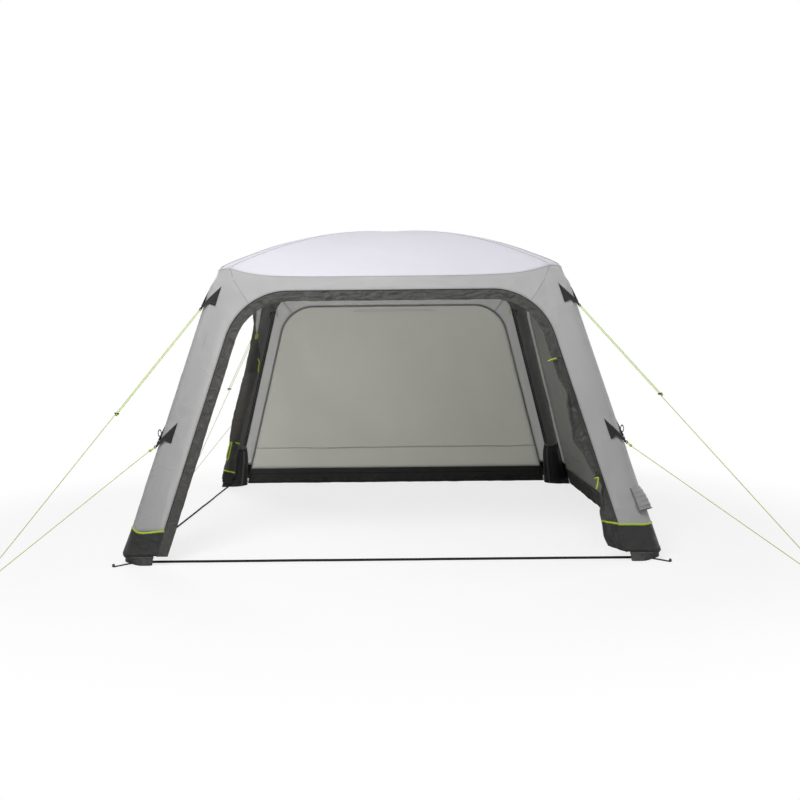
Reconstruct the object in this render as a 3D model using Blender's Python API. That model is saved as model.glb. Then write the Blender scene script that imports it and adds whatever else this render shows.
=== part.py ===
"""Inflatable day shelter on four splayed legs: crossed air beams under a domed roof, grey facade
panels with arch-shaped openings, two zipped-in walls, boots, foot pads, guy ropes and their runners.
Metres, +Z up, the front towards -Y, the origin on the ground at the middle of the footprint."""

import functools
import math

import bmesh
import bpy
from mathutils import Matrix, Vector

# Driving dimensions of the whole shelter.
FOOT_HALF = 1.539
EAVES_HALF = 1.062
EAVES_HEIGHT = 1.690
ROOF_RISE = 0.345
CHAMFER = 0.084
LEG_FACE = 0.200
FABRIC = 0.0015
SEW_GAP = 0.0004
CROWN_SHARE = 0.94
SIDES = ("front", "right", "rear", "left")
CORNERS = ("front_left", "front_right", "rear_right", "rear_left")

# Seam between the roof and the facade, which dips between the corners.
SEAM_CORNER = 1.682
SEAM_MIDDLE = 1.640
SEAM_POWER = 5
CLOSE_POWER = 0.45
ROOF_HEM = 0.012

# Arch-shaped openings: the outer line of the trim, or of the zip.
OPEN_ARCH_TOP = 1.556
OPEN_ARCH_RADIUS = 0.380
WALL_ARCH_TOP = 1.566
WALL_ARCH_RADIUS = 0.300
ARC_STEPS = 10
TRIM_WIDTH = 0.064
TRIM_FOOT = 0.048
FLAP_RISE = 0.035

# Boots, foot pads and ground straps.
BOOT_TOP = 0.190
BOOT_FOOT = 0.0515
BASE_TOP = 0.0496
BASE_CUT = 0.112
PAD_WIDTH = 0.199
PAD_INNER = FOOT_HALF - PAD_WIDTH
BASE_REACH = (2 * FOOT_HALF - BASE_CUT) / math.sqrt(2)
TONGUE_LENGTH = 0.1087
TONGUE_REACH = BASE_REACH + TONGUE_LENGTH
TONGUE_THICKNESS = 0.003
TONGUE_WIDTH = 0.022
EYELET_LENGTH = 0.022
EYELET_WIDTH = 0.010
EYELET_INSET = 0.012
STRAP_INSET = 0.065
STRAP_LINE = FOOT_HALF - STRAP_INSET
STRAP_HEIGHT = 0.015
STRAP_WIDTH = 0.004

# Air beams and their sleeves.
BEAM_INSET = 0.063
SLEEVE_RADIUS = 0.058
SLEEVE_WALL = 0.0015
BEAM_WALL = 0.0012
BEAM_SIDES = 10
BEAM_FOOT = 0.006
SLEEVE_FOOT = 0.032
STRIP_EASE = 0.0035
STRIP_SHARES = (-1.0, -0.7, -0.35, 0.0, 0.35, 0.7, 1.0)
KNEE_DROP = 0.145
KNEE_SHARE = 0.83
CROWN_REACH = 0.220
TUBE_STEPS = 5

# Walls and skirts.
SKIRT_TOP = 0.143
SKIRT_FOOT = 0.004
HEM_LOOP_LENGTH = 0.055
HEM_LOOP_WIDTH = 0.016
FOLD_DEPTH = 0.014

# Tie-outs, ropes and runners.
UPPER_TIP = 1.458
LOWER_TIP = 0.657
TIP_REACH = 0.060
WING_HEIGHT = 0.132
WING_FOOT = 0.012
NOTCH_RISE = 0.026
NOTCH_SHARE = 0.42
TIP_LINE = 0.012
WEBBING = 0.002
WING_LIFT_SHARES = {"upper": 3.25, "lower": 3.55}
TAB_LENGTH = 0.022
TAB_WIDTH = 0.014
TAB_THICKNESS = 0.003
ROPE_DIAMETER = 0.004
ROPE_CLEARANCE = 0.0005
EYE_RADIUS = 0.009
KNOT_PITCH = 0.0052
EYE_LENGTH = 0.042
PEG_EYE_RADIUS = 0.012
PEG_EYE_LENGTH = 0.075
UPPER_END_HEIGHT = 0.019
LOWER_END_HEIGHT = 0.004
PEG_OUT = {"front_left": 0.554, "front_right": 0.656, "rear_right": 0.436, "rear_left": 0.436}
RUNNER_PLACE = {"front_left": 0.810, "front_right": 0.738, "rear_right": 0.800, "rear_left": 0.760}
RUNNER_LENGTH = 0.036
RUNNER_HEIGHT = 0.012
RUNNER_THICKNESS = 0.009
RUNNER_BEVEL = 0.002
KNOT_PAST_RUNNER = 0.012

# Zip sliders on the sleeves.
SLIDER_HEIGHT = 1.530
SLIDER_LENGTH = 0.024
SLIDER_WIDTH = 0.014
SLIDER_DEPTH = 0.008
PULL_LENGTH = 0.050
PULL_WIDTH = 0.007
PULL_DEPTH = 0.003
SLIDER_BEVEL = 0.0015

# Valve on the front right leg and the hood over it.
VALVE_HEIGHT = 0.290
VALVE_NECK_RADIUS = 0.016
VALVE_BORE_RADIUS = 0.010
VALVE_FLANGE_RADIUS = 0.025
VALVE_FLANGE = 0.004
VALVE_TAIL = 0.006
CAP_RADIUS = 0.019
CAP_HEIGHT = 0.012
CAP_GRIP_WIDTH = 0.006
CAP_GRIP_HEIGHT = 0.005
CAP_BEVEL = 0.001
HOOD_ANGLE = 50
HOOD_LENGTH = 0.140
HOOD_RISE = 0.033
HOOD_TOP = 0.380
OVERRUN = 0.010

# Finishes: colour, roughness and metallic value.
FINISHES = {
    "roof_fabric": ((0.74, 0.73, 0.80), 0.62, 0.0),
    "facade_fabric": ((0.40, 0.40, 0.41), 0.66, 0.0),
    "trim_fabric": ((0.055, 0.055, 0.055), 0.60, 0.0),
    "boot_fabric": ((0.040, 0.040, 0.040), 0.52, 0.0),
    "wall_fabric": ((0.27, 0.27, 0.25), 0.70, 0.0),
    "skirt_fabric": ((0.020, 0.020, 0.020), 0.55, 0.0),
    "sleeve_fabric": ((0.030, 0.030, 0.030), 0.65, 0.0),
    "bladder_film": ((0.60, 0.62, 0.62), 0.35, 0.0),
    "webbing": ((0.020, 0.020, 0.020), 0.70, 0.0),
    "rope": ((0.58, 0.78, 0.06), 0.55, 0.0),
    "runner_plastic": ((0.030, 0.030, 0.030), 0.38, 0.0),
    "zip_metal": ((0.10, 0.10, 0.10), 0.35, 0.8),
    "valve_plastic": ((0.050, 0.050, 0.055), 0.40, 0.0),
}

LEAN = math.atan(math.sqrt(2) * (FOOT_HALF - EAVES_HALF) / EAVES_HEIGHT)
BEAM_RADIUS = SLEEVE_RADIUS - SLEEVE_WALL - SEW_GAP
STRIP_RADIUS = SLEEVE_RADIUS + STRIP_EASE + FABRIC


def clear_scene():
    for old in list(bpy.data.objects):
        bpy.data.objects.remove(old, do_unlink=True)


def finish(name):
    """The material of that name, made once."""
    if name in bpy.data.materials:
        return bpy.data.materials[name]
    colour, roughness, metallic = FINISHES[name]
    made = bpy.data.materials.new(name)
    made.use_nodes = True
    shader = made.node_tree.nodes["Principled BSDF"]
    shader.inputs["Base Color"].default_value = (*colour, 1.0)
    shader.inputs["Roughness"].default_value = roughness
    shader.inputs["Metallic"].default_value = metallic
    made.diffuse_color = (*colour, 1.0)
    return made


def add_object(name, bm, finish_name, turn=0, smooth=False):
    """A bmesh made into the scene's object, turned by so many quarter turns about Z."""
    mesh = bpy.data.meshes.new(name)
    bm.normal_update()
    bm.to_mesh(mesh)
    bm.free()
    piece = bpy.data.objects.new(name, mesh)
    bpy.context.scene.collection.objects.link(piece)
    piece.rotation_euler.z = turn * math.pi / 2
    mesh.materials.append(finish(finish_name))
    if smooth:
        mesh.shade_smooth()
        mesh.set_sharp_from_angle(angle=math.radians(40))
    return piece


def thicken(piece, thickness):
    """A wall of that thickness behind the faces."""
    wall = piece.modifiers.new("wall", "SOLIDIFY")
    wall.thickness = thickness
    wall.offset = -1
    wall.use_even_offset = True


def cut(piece, cutter):
    """Takes the cutter's shape out of the piece."""
    cutter.hide_render = True
    cutter.display_type = "WIRE"
    boolean = piece.modifiers.new("cut", "BOOLEAN")
    boolean.operation = "DIFFERENCE"
    boolean.object = cutter


def unite(piece, other):
    """Joins the other's shape to the piece."""
    other.hide_render = True
    other.display_type = "WIRE"
    boolean = piece.modifiers.new("unite", "BOOLEAN")
    boolean.operation = "UNION"
    boolean.object = other


# Shape of the shelter: half widths, heights and the corner's own axes.


def corner_half(z):
    """Half width over the leg faces at that height."""
    return FOOT_HALF - (FOOT_HALF - EAVES_HALF) * z / EAVES_HEIGHT


def roof_height(half):
    """Height of the diagonal bands where the roof is that half width."""
    return EAVES_HEIGHT + ROOF_RISE * (1 - (half / EAVES_HALF) ** 2) ** CROWN_SHARE


def seam_height(share):
    """Height of the eaves seam, from the middle (0) to a corner (-1 or 1)."""
    return SEAM_MIDDLE + (SEAM_CORNER - SEAM_MIDDLE) * abs(share) ** SEAM_POWER


def outward():
    """Unit vector out of the front left corner."""
    return Vector((-1, -1, 0)).normalized()


def across():
    """Unit vector along the front left corner's chamfer, towards the front face."""
    return Vector((1, -1, 0)).normalized()


def corner_point(reach, side, z):
    """A point by its reach along the diagonal, its distance from the diagonal plane and its height."""
    return outward() * reach + across() * side + Vector((0, 0, z))


def chamfer_reach(z):
    """Reach of the chamfer's plane along the diagonal."""
    return (2 * corner_half(z) - CHAMFER) / math.sqrt(2)


def leg_axis_reach(z):
    """Reach of the beam's axis in the leg."""
    return math.sqrt(2) * (corner_half(z) - BEAM_INSET)


@functools.cache
def fine_axis():
    """Close points along the beam's axis, from the ground up, as reach and height."""
    points = beam_axis()
    points[0] = Vector((leg_axis_reach(0), 0))
    found = []
    for a, b in zip(points, points[1:]):
        steps = max(2, int((b - a).length / SLEEVE_WALL))
        found += [a.lerp(b, i / steps) for i in range(steps)]
    return found


@functools.cache
def strip_reach(z, share):
    """Reach of the rounded corner strip, from one crease (-1) round the beam to the other (1)."""
    furthest = chamfer_reach(z)
    side = share * CHAMFER / math.sqrt(2)
    room = STRIP_RADIUS**2 - side**2
    if abs(share) >= 1 or room <= 0:
        return furthest
    for point in fine_axis():
        left = room - (z - point.y) ** 2
        if left > 0:
            furthest = max(furthest, point.x + math.sqrt(left))
    return furthest


def strip_points(z):
    """The corner strip's points at that height, from the left face's crease to the front's."""
    return [corner_point(strip_reach(z, s), s * CHAMFER / math.sqrt(2), z) for s in STRIP_SHARES]


def front_point(x, z, inset=0.0):
    """A point of the front face, or of a plane so far behind it."""
    return Vector((x, -corner_half(z) + inset, z))


# Arch-shaped line of an opening.


class Arch:
    """Line of an opening: straight up the legs, round at the corners, flat on top."""

    def __init__(self, top, radius, offset=0.0):
        self.top = top - offset
        self.radius = radius - offset
        self.slope = (FOOT_HALF - EAVES_HALF) / EAVES_HEIGHT
        self.inset = LEG_FACE + offset * math.hypot(1, self.slope)
        self.turn = math.pi / 2 - math.atan(self.slope)
        peak_x = corner_half(self.top) - self.inset
        self.flat_x = peak_x - self.radius * math.tan(self.turn / 2)
        self.centre_z = self.top - self.radius
        self.spring_z = self.centre_z + self.radius * math.cos(self.turn)

    def leg_x(self, z):
        return corner_half(z) - self.inset

    def arc_point(self, share):
        """From the leg (0) to the flat top (1)."""
        angle = self.turn * (1 - share)
        x = self.flat_x + self.radius * math.sin(angle)
        return x, self.centre_z + self.radius * math.cos(angle)

    def half_width(self, z):
        """Half width of the opening at that height."""
        if z <= self.spring_z:
            return self.leg_x(z)
        rise = min(z - self.centre_z, self.radius)
        return self.flat_x + math.sqrt(self.radius**2 - rise**2)


def half_stations(arch, foot, leg_steps, top_steps):
    """Stations from the foot of one leg to the middle of the top: kind, share, x and z."""
    found = []
    for i in range(leg_steps):
        share = i / leg_steps
        z = foot + (arch.spring_z - foot) * share
        found.append(("leg", share, arch.leg_x(z), z))
    for i in range(ARC_STEPS):
        share = i / ARC_STEPS
        found.append(("arc", share, *arch.arc_point(share)))
    for i in range(top_steps + 1):
        share = i / top_steps
        found.append(("top", share, arch.flat_x * (1 - share), arch.top))
    return found


def both_halves(half):
    """The stations of the left half, then the right half's without the middle again."""
    left = [(-1, *station) for station in half]
    right = [(1, *station) for station in reversed(half[:-1])]
    return left + right


# Facade panels.


def seam_x(share):
    """Distance from the middle of the eaves seam at that share of its half length."""
    return share * (corner_half(seam_height(share)) - CHAMFER)


def outer_of(kind, share, arch, foot):
    """Point of the panel's outer boundary that belongs to an arch station: x and z."""
    if kind == "leg":
        z = foot + (arch.spring_z - foot) * share
        return corner_half(z) - CHAMFER, z
    corner_share = 1.0
    flat_share = arch.flat_x / (corner_half(SEAM_CORNER) - CHAMFER)
    if kind == "arc" and share <= 0.5:
        z = arch.spring_z + (SEAM_CORNER - arch.spring_z) * (2 * share) ** CLOSE_POWER
        return corner_half(z) - CHAMFER, z
    if kind == "arc":
        along = corner_share + (flat_share - corner_share) * (2 * share - 1)
    else:
        along = flat_share * (1 - share)
    return seam_x(along), seam_height(along)


def make_facade(side, turn, arch, with_chamfers):
    """One side's grey panel: two leg faces and the lintel, and on two sides the legs' chamfers."""
    foot = BOOT_TOP + FABRIC
    half = half_stations(arch, foot, leg_steps=4, top_steps=3)
    bm = bmesh.new()
    rows = []
    for sign, kind, share, x, z in both_halves(half):
        outer_x, outer_z = outer_of(kind, share, arch, foot)
        trim = 0.0 if with_chamfers else FABRIC + SEW_GAP
        outer_x -= trim * (1 if kind == "leg" or (kind == "arc" and share <= 0.5) else 0)
        points = []
        for part in range(3):
            blend = part / 2
            px = x + (outer_x - x) * blend
            pz = z + (outer_z - z) * blend
            points.append(bm.verts.new(front_point(sign * px, pz)))
        rows.append((sign, kind, share, points, outer_z))
    for (_, _, _, a, _), (_, _, _, b, _) in zip(rows, rows[1:]):
        for low, high in ((0, 1), (1, 2)):
            bm.faces.new((a[low], b[low], b[high], a[high]))
    if with_chamfers:
        add_chamfers(bm, rows)
    bmesh.ops.recalc_face_normals(bm, faces=bm.faces)
    turn_outwards(bm, Vector((0, -1, 0)))
    piece = add_object("facade_" + side, bm, "facade_fabric", turn)
    thicken(piece, FABRIC)
    return piece


def add_chamfers(bm, rows):
    """The rounded corner strips, joined to the crease of the leg faces."""
    for side in (-1, 1):
        legs = [r for r in rows if r[0] == side and (r[1] == "leg" or (r[1] == "arc" and r[2] <= 0.5))]
        strip = []
        for _, _, _, points, z in legs:
            line = [points[2]]
            for spot in reversed(strip_points(z)[:-1]):
                line.append(bm.verts.new(Vector((-side * spot.x, spot.y, z))))
            strip.append(line)
        for low, high in zip(strip, strip[1:]):
            for i in range(len(low) - 1):
                bm.faces.new((low[i], low[i + 1], high[i + 1], high[i]))


def turn_outwards(bm, direction):
    """Turns the faces over if they point away from the direction."""
    total = sum(f.normal.dot(direction) * f.calc_area() for f in bm.faces)
    if total < 0:
        bmesh.ops.reverse_faces(bm, faces=bm.faces)


# Trims along the open arches.


TIED_HEIGHT_SHARES = (0.0, 0.05, 0.16, 0.25, 0.30, 0.35, 0.42, 0.50, 0.58, 0.66, 0.73, 0.80, 1.0)
FRONT_TIED_SHARES = (1.65, 1.75, 1.45, 0.60, 0.26, 0.70, 0.90, 1.45, 1.20, 1.00, 0.62, 0.95, 1.0)
LEFT_TIED_SHARES = (0.90, 0.80, 0.60, 0.40, 0.80, 1.45, 1.90, 2.20, 2.00, 1.70, 1.20, 0.55, 1.0)


def tied_width(z, arch, shares):
    """Width of the tied-back trim at that height."""
    along = (z - TRIM_FOOT) / (arch.spring_z - TRIM_FOOT)
    along = min(max(along, 0.0), 1.0)
    pairs = list(zip(TIED_HEIGHT_SHARES, shares))
    for (low, a), (high, b) in zip(pairs, pairs[1:]):
        if along <= high:
            return TRIM_WIDTH * (a + (b - a) * (along - low) / (high - low))
    return TRIM_WIDTH


def make_trim(side, turn, tied_sign, shares):
    """Dark band along an open arch, its edge tied back on one leg."""
    arch = Arch(OPEN_ARCH_TOP, OPEN_ARCH_RADIUS, SEW_GAP)
    inner = Arch(OPEN_ARCH_TOP, OPEN_ARCH_RADIUS, TRIM_WIDTH)
    half = half_stations(arch, TRIM_FOOT, leg_steps=12, top_steps=3)
    inner_half = half_stations(inner, TRIM_FOOT, leg_steps=12, top_steps=3)
    bm = bmesh.new()
    rows = []
    for (sign, kind, share, x, z), (_, _, _, ix, iz) in zip(both_halves(half), both_halves(inner_half)):
        if kind == "leg" and sign == tied_sign:
            width = tied_width(z, arch, shares)
            ix = x - width
            iz = z + (FLAP_RISE if share == 0 else 0)
        rows.append([bm.verts.new(front_point(sign * px, pz)) for px, pz in ((x, z), (ix, iz))])
    for a, b in zip(rows, rows[1:]):
        bm.faces.new((a[0], b[0], b[1], a[1]))
    bmesh.ops.recalc_face_normals(bm, faces=bm.faces)
    turn_outwards(bm, Vector((0, -1, 0)))
    piece = add_object("arch_trim_" + side, bm, "trim_fabric", turn)
    thicken(piece, FABRIC)


# Roof.


def roof_ring(half, heights, drop):
    """Ring of the roof at that half width: four dipping panels and four chamfers, from the front left."""
    steps = 8
    ring = []
    for quarter in range(4):
        turned = Matrix.Rotation(quarter * math.pi / 2, 3, "Z")
        for i in range(steps + 1):
            share = -1 + 2 * i / steps
            x = share * (half - CHAMFER)
            z = heights(share) - drop * (1 - abs(share) ** SEAM_POWER)
            ring.append(turned @ Vector((x, -half, z)))
    return ring


def hem_ring(below):
    """Ring behind the facade's top edge, so far below the seam."""
    steps = 8
    inset = (FABRIC + SEW_GAP) * math.hypot(1, (FOOT_HALF - EAVES_HALF) / EAVES_HEIGHT)
    ring = []
    for quarter in range(4):
        turned = Matrix.Rotation(quarter * math.pi / 2, 3, "Z")
        for i in range(steps + 1):
            share = -1 + 2 * i / steps
            z = seam_height(share) - below
            half = corner_half(z) - inset
            ring.append(turned @ Vector((share * (half - CHAMFER), -half, z)))
    return ring


def make_roof():
    """Domed canopy with a hem behind the facade's top edge."""
    rings = [hem_ring(ROOF_HEM), hem_ring(0.0)]
    last = CHAMFER + TRIM_WIDTH / 2
    levels = 9
    first = EAVES_HALF * 0.985
    for i in range(levels):
        half = first + (last - first) * i / (levels - 1)
        dip = (SEAM_CORNER - SEAM_MIDDLE) * (half / EAVES_HALF) ** 2
        height = roof_height(half)
        rings.append(roof_ring(half, lambda share, height=height: height, dip))
    bm = bmesh.new()
    grid = [[bm.verts.new(p) for p in ring] for ring in rings]
    count = len(grid[0])
    for low, high in zip(grid, grid[1:]):
        for i in range(count):
            j = (i + 1) % count
            bm.faces.new((low[i], low[j], high[j], high[i]))
    peak = bm.verts.new(Vector((0, 0, EAVES_HEIGHT + ROOF_RISE)))
    for i in range(count):
        bm.faces.new((grid[-1][i], grid[-1][(i + 1) % count], peak))
    bmesh.ops.recalc_face_normals(bm, faces=bm.faces)
    turn_outwards(bm, Vector((0, 0, 1)))
    piece = add_object("roof_canopy", bm, "roof_fabric", smooth=True)
    thicken(piece, FABRIC)


# Walls and skirts.


FOLD_SHARES = (
    (0.10, 0.20, 0.75, 0.62, 0.10, 1.0),
    (0.45, 0.12, 0.95, 0.34, 0.06, 0.8),
    (-0.80, 0.10, -0.55, 0.55, 0.07, 0.6),
    (0.55, 0.45, 0.85, 0.80, 0.06, 0.5),
)


def fold(x_share, z_share):
    """Depth of the wall's soft folds, from the outline (0) inwards."""
    depth = 0.0
    for x0, z0, x1, z1, width, size in FOLD_SHARES:
        dx = x1 - x0
        dz = z1 - z0
        along = ((x_share - x0) * dx + (z_share - z0) * dz) / (dx * dx + dz * dz)
        along = min(max(along, 0.0), 1.0)
        away = math.hypot(x_share - x0 - dx * along, z_share - z0 - dz * along)
        depth += size * math.exp(-((away / width) ** 2))
    edge = min(1 - abs(x_share), z_share, 1 - z_share)
    return FOLD_DEPTH * depth * min(max(edge * 8, 0.0), 1.0)


def wall_rows(arch, foot, top):
    """Heights of the wall's rows, closer where the arch turns."""
    straight = 7
    rows = [foot + (arch.spring_z - foot) * i / straight for i in range(straight)]
    rows += [arch.arc_point(i / ARC_STEPS)[1] for i in range(ARC_STEPS + 1)]
    return [z for z in rows if z < top - SEW_GAP] + [top]


def make_wall(side, turn):
    """A zipped-in wall panel and the skirt along its foot, both hung from the arch's flat top."""
    arch = Arch(WALL_ARCH_TOP, WALL_ARCH_RADIUS, SEW_GAP)
    pivot = front_point(0, arch.top)
    foot = SKIRT_TOP + SEW_GAP
    columns = 12
    bm = bmesh.new()
    grid = []
    for z in wall_rows(arch, foot, arch.top):
        half = arch.half_width(z)
        row = []
        for i in range(columns + 1):
            share = -1 + 2 * i / columns
            z_share = (z - foot) / (arch.top - foot)
            row.append(bm.verts.new(front_point(share * half, z, fold(share, z_share)) - pivot))
        grid.append(row)
    fill_grid(bm, grid)
    hang("%s_wall" % side, bm, "wall_fabric", turn, pivot)
    bm = bmesh.new()
    grid = []
    for z in (SKIRT_FOOT, SKIRT_TOP):
        half = arch.half_width(z)
        grid.append([bm.verts.new(front_point(x * half, z) - pivot) for x in (-1, -0.5, 0, 0.5, 1)])
    fill_grid(bm, grid)
    skirt = hang("%s_skirt" % side, bm, "skirt_fabric", turn, pivot)
    return skirt


def fill_grid(bm, grid):
    """Faces between rows of points, facing the front."""
    for low, high in zip(grid, grid[1:]):
        for i in range(len(low) - 1):
            bm.faces.new((low[i], low[i + 1], high[i + 1], high[i]))
    bmesh.ops.recalc_face_normals(bm, faces=bm.faces)
    turn_outwards(bm, Vector((0, -1, 0)))


def hang(name, bm, finish_name, turn, pivot):
    """An object whose origin lies on the hinge line at the arch's top."""
    piece = add_object(name, bm, finish_name, turn)
    piece.location = Matrix.Rotation(turn * math.pi / 2, 3, "Z") @ pivot
    thicken(piece, FABRIC)
    return piece


# Boots, pads and straps.


def make_boot(corner, turn):
    """Dark boot round the foot of a leg, from the edge of one face round the corner to the other's."""
    bm = bmesh.new()
    rows = []
    for z in (BOOT_FOOT, BOOT_TOP):
        half = corner_half(z)
        edge = half - LEG_FACE + SEW_GAP
        line = [Vector((-half, -edge, z))] + strip_points(z) + [Vector((-edge, -half, z))]
        rows.append([bm.verts.new(p) for p in line])
    low, high = rows
    for i in range(len(low) - 1):
        bm.faces.new((low[i], low[i + 1], high[i + 1], high[i]))
    bmesh.ops.recalc_face_normals(bm, faces=bm.faces)
    turn_outwards(bm, outward())
    piece = add_object("boot_" + corner, bm, "boot_fabric", turn)
    thicken(piece, FABRIC)


def base_outline(z, reach, cut_share):
    """Outline of the leg's base, clockwise from the inner corner."""
    half = corner_half(z)
    points = [Vector((-PAD_INNER, -PAD_INNER, z)), Vector((-half, -PAD_INNER, z))]
    for share in STRIP_SHARES:
        side = share * CHAMFER / math.sqrt(2) * cut_share
        points.append(corner_point(reach(z, share), side, z))
    return points + [Vector((-PAD_INNER, -half, z))]


def make_pad(corner, turn):
    """Shallow base under the leg, like a tray, with a tongue for a peg."""
    bm = bmesh.new()
    bottom = base_outline(0, lambda z, share: BASE_REACH, BASE_CUT / CHAMFER)
    top = base_outline(BASE_TOP, strip_reach, 1)
    low = [bm.verts.new(p) for p in bottom]
    high = [bm.verts.new(p) for p in top]
    count = len(low)
    for i in range(count):
        j = (i + 1) % count
        bm.faces.new((low[i], low[j], high[j], high[i]))
    bm.faces.new(low)
    bmesh.ops.recalc_face_normals(bm, faces=bm.faces)
    turn_outwards(bm, Vector((0, 0, -1)))
    piece = add_object("foot_pad_" + corner, bm, "webbing", turn)
    thicken(piece, FABRIC)
    half_tongue = TONGUE_WIDTH / 2
    outline = [
        corner_point(BASE_REACH - TONGUE_WIDTH, -half_tongue, 0),
        corner_point(TONGUE_REACH - half_tongue, -half_tongue, 0),
        corner_point(TONGUE_REACH, -half_tongue / 2, 0),
        corner_point(TONGUE_REACH, half_tongue / 2, 0),
        corner_point(TONGUE_REACH - half_tongue, half_tongue, 0),
        corner_point(BASE_REACH - TONGUE_WIDTH, half_tongue, 0),
    ]
    unite(piece, extrude_outline("tongue_" + corner, outline, TONGUE_THICKNESS, "webbing", turn))
    centre = TONGUE_REACH - EYELET_INSET - EYELET_LENGTH / 2
    straight = (EYELET_LENGTH - EYELET_WIDTH) / 2
    slot = []
    for end, middle in ((1, 0.0), (-1, math.pi)):
        for i in range(5):
            angle = middle - math.pi / 2 + math.pi * i / 4
            reach = centre + end * straight + math.cos(angle) * EYELET_WIDTH / 2
            slot.append(corner_point(reach, math.sin(angle) * EYELET_WIDTH / 2, -OVERRUN))
    height = TONGUE_THICKNESS + OVERRUN * 2
    cut(piece, extrude_outline("eyelet_cut_" + corner, slot, height, "webbing", turn))


def extrude_outline(name, outline, height, finish_name, turn):
    """A flat outline raised to a plate."""
    bm = bmesh.new()
    face = bm.faces.new([bm.verts.new(p) for p in outline])
    raised = bmesh.ops.extrude_face_region(bm, geom=[face])
    for vert in raised["geom"]:
        if isinstance(vert, bmesh.types.BMVert):
            vert.co.z += height
    bmesh.ops.recalc_face_normals(bm, faces=bm.faces)
    return add_object(name, bm, finish_name, turn)


def make_strap(side, turn):
    """Webbing on edge along the ground between two pads."""
    half = PAD_INNER - SEW_GAP
    bm = bmesh.new()
    bmesh.ops.create_cube(bm, size=1.0)
    bmesh.ops.scale(bm, vec=(half * 2, STRAP_WIDTH, STRAP_HEIGHT), verts=bm.verts)
    bmesh.ops.translate(bm, vec=(0, -STRAP_LINE, STRAP_HEIGHT / 2 + SEW_GAP), verts=bm.verts)
    add_object("ground_strap_" + side, bm, "webbing", turn)


# Air beams and sleeves.


def roof_axis_point(half):
    """Point of the beam's axis under the roof's diagonal band, as reach and height."""
    step = EAVES_HALF / 1000
    reach = (2 * half - CHAMFER) / math.sqrt(2)
    slope = (roof_height(half + step) - roof_height(half - step)) / (2 * step * math.sqrt(2))
    depth = STRIP_RADIUS
    length = math.hypot(1, slope)
    return Vector((reach + slope / length * depth, roof_height(half) - depth / length))


def beam_axis():
    """The common part of beam and sleeve: up the leg, round the knee and along the roof."""
    low = Vector((leg_axis_reach(SLEEVE_FOOT), SLEEVE_FOOT))
    knee_z = EAVES_HEIGHT - KNEE_DROP
    knee = Vector((leg_axis_reach(knee_z), knee_z))
    roof_start = roof_axis_point(EAVES_HALF * KNEE_SHARE)
    ahead = roof_axis_point(EAVES_HALF * (KNEE_SHARE - 0.02))
    slope = (ahead - roof_start).normalized()
    leg = (knee - low).normalized()
    turn = leg.x * slope.y - leg.y * slope.x
    away = roof_start - knee
    control = knee + leg * ((away.x * slope.y - away.y * slope.x) / turn)
    points = [low, low.lerp(knee, 0.5), knee]
    for i in range(1, TUBE_STEPS):
        t = i / TUBE_STEPS
        points.append(knee * (1 - t) ** 2 + control * (2 * t * (1 - t)) + roof_start * t**2)
    last_half = (CROWN_REACH * math.sqrt(2) + CHAMFER) / 2
    first_half = EAVES_HALF * KNEE_SHARE
    for i in range(TUBE_STEPS + 1):
        half = first_half + (last_half - first_half) * i / TUBE_STEPS
        points.append(roof_axis_point(half))
    return points


def tube(points, radii, closed_start=False, upright=()):
    """Skin of a tube along points of the diagonal plane; the rings of the listed points are upright."""
    bm = bmesh.new()
    rings = []
    for i, point in enumerate(points):
        before = points[max(i - 1, 0)]
        after = points[min(i + 1, len(points) - 1)]
        along = (after - before).normalized()
        if i in upright:
            along = Vector((math.copysign(1.0, along.x), 0.0))
        ring = []
        for side in range(BEAM_SIDES):
            angle = 2 * math.pi * side / BEAM_SIDES
            out = radii[i] * math.cos(angle)
            reach = point.x + along.y * out
            height = point.y - along.x * out
            ring.append(bm.verts.new(corner_point(reach, radii[i] * math.sin(angle), height)))
        rings.append(ring)
    for low, high in zip(rings, rings[1:]):
        for side in range(BEAM_SIDES):
            other = (side + 1) % BEAM_SIDES
            bm.faces.new((low[side], low[other], high[other], high[side]))
    if closed_start:
        bm.faces.new(list(reversed(rings[0])))
    bmesh.ops.recalc_face_normals(bm, faces=bm.faces)
    axis = points[0]
    centre = corner_point(axis.x, 0, axis.y)
    first = [f for f in bm.faces if all(v in rings[0] or v in rings[1] for v in f.verts)]
    total = sum(f.normal.dot(f.calc_center_median() - centre) for f in first)
    if total < 0:
        bmesh.ops.reverse_faces(bm, faces=bm.faces)
    return bm


def make_beam(corner, turn):
    """Air bladder of one leg and its quarter of the roof, open at the crown."""
    common = beam_axis()
    low = common[0]
    along = (common[1] - common[0]).normalized()
    end_z = BEAM_FOOT + BEAM_RADIUS
    bottom = low + along * ((end_z - low.y) / along.y)
    points = []
    radii = []
    for angle in (math.radians(60), math.radians(35)):
        points.append(bottom - along * BEAM_RADIUS * math.sin(angle))
        radii.append(BEAM_RADIUS * math.cos(angle))
    points += [bottom] + common[1:]
    radii += [BEAM_RADIUS] * len(common)
    bm = tube(points, radii, True, upright=(len(points) - 1,))
    piece = add_object("air_beam_" + corner, bm, "bladder_film", turn, True)
    thicken(piece, BEAM_WALL)
    return piece


def make_sleeve(corner, turn):
    """Dark fabric sleeve round the beam."""
    common = beam_axis()
    bm = tube(common, [SLEEVE_RADIUS] * len(common), upright=(len(common) - 1,))
    piece = add_object("beam_sleeve_" + corner, bm, "sleeve_fabric", turn, True)
    thicken(piece, SLEEVE_WALL)
    return piece


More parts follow.
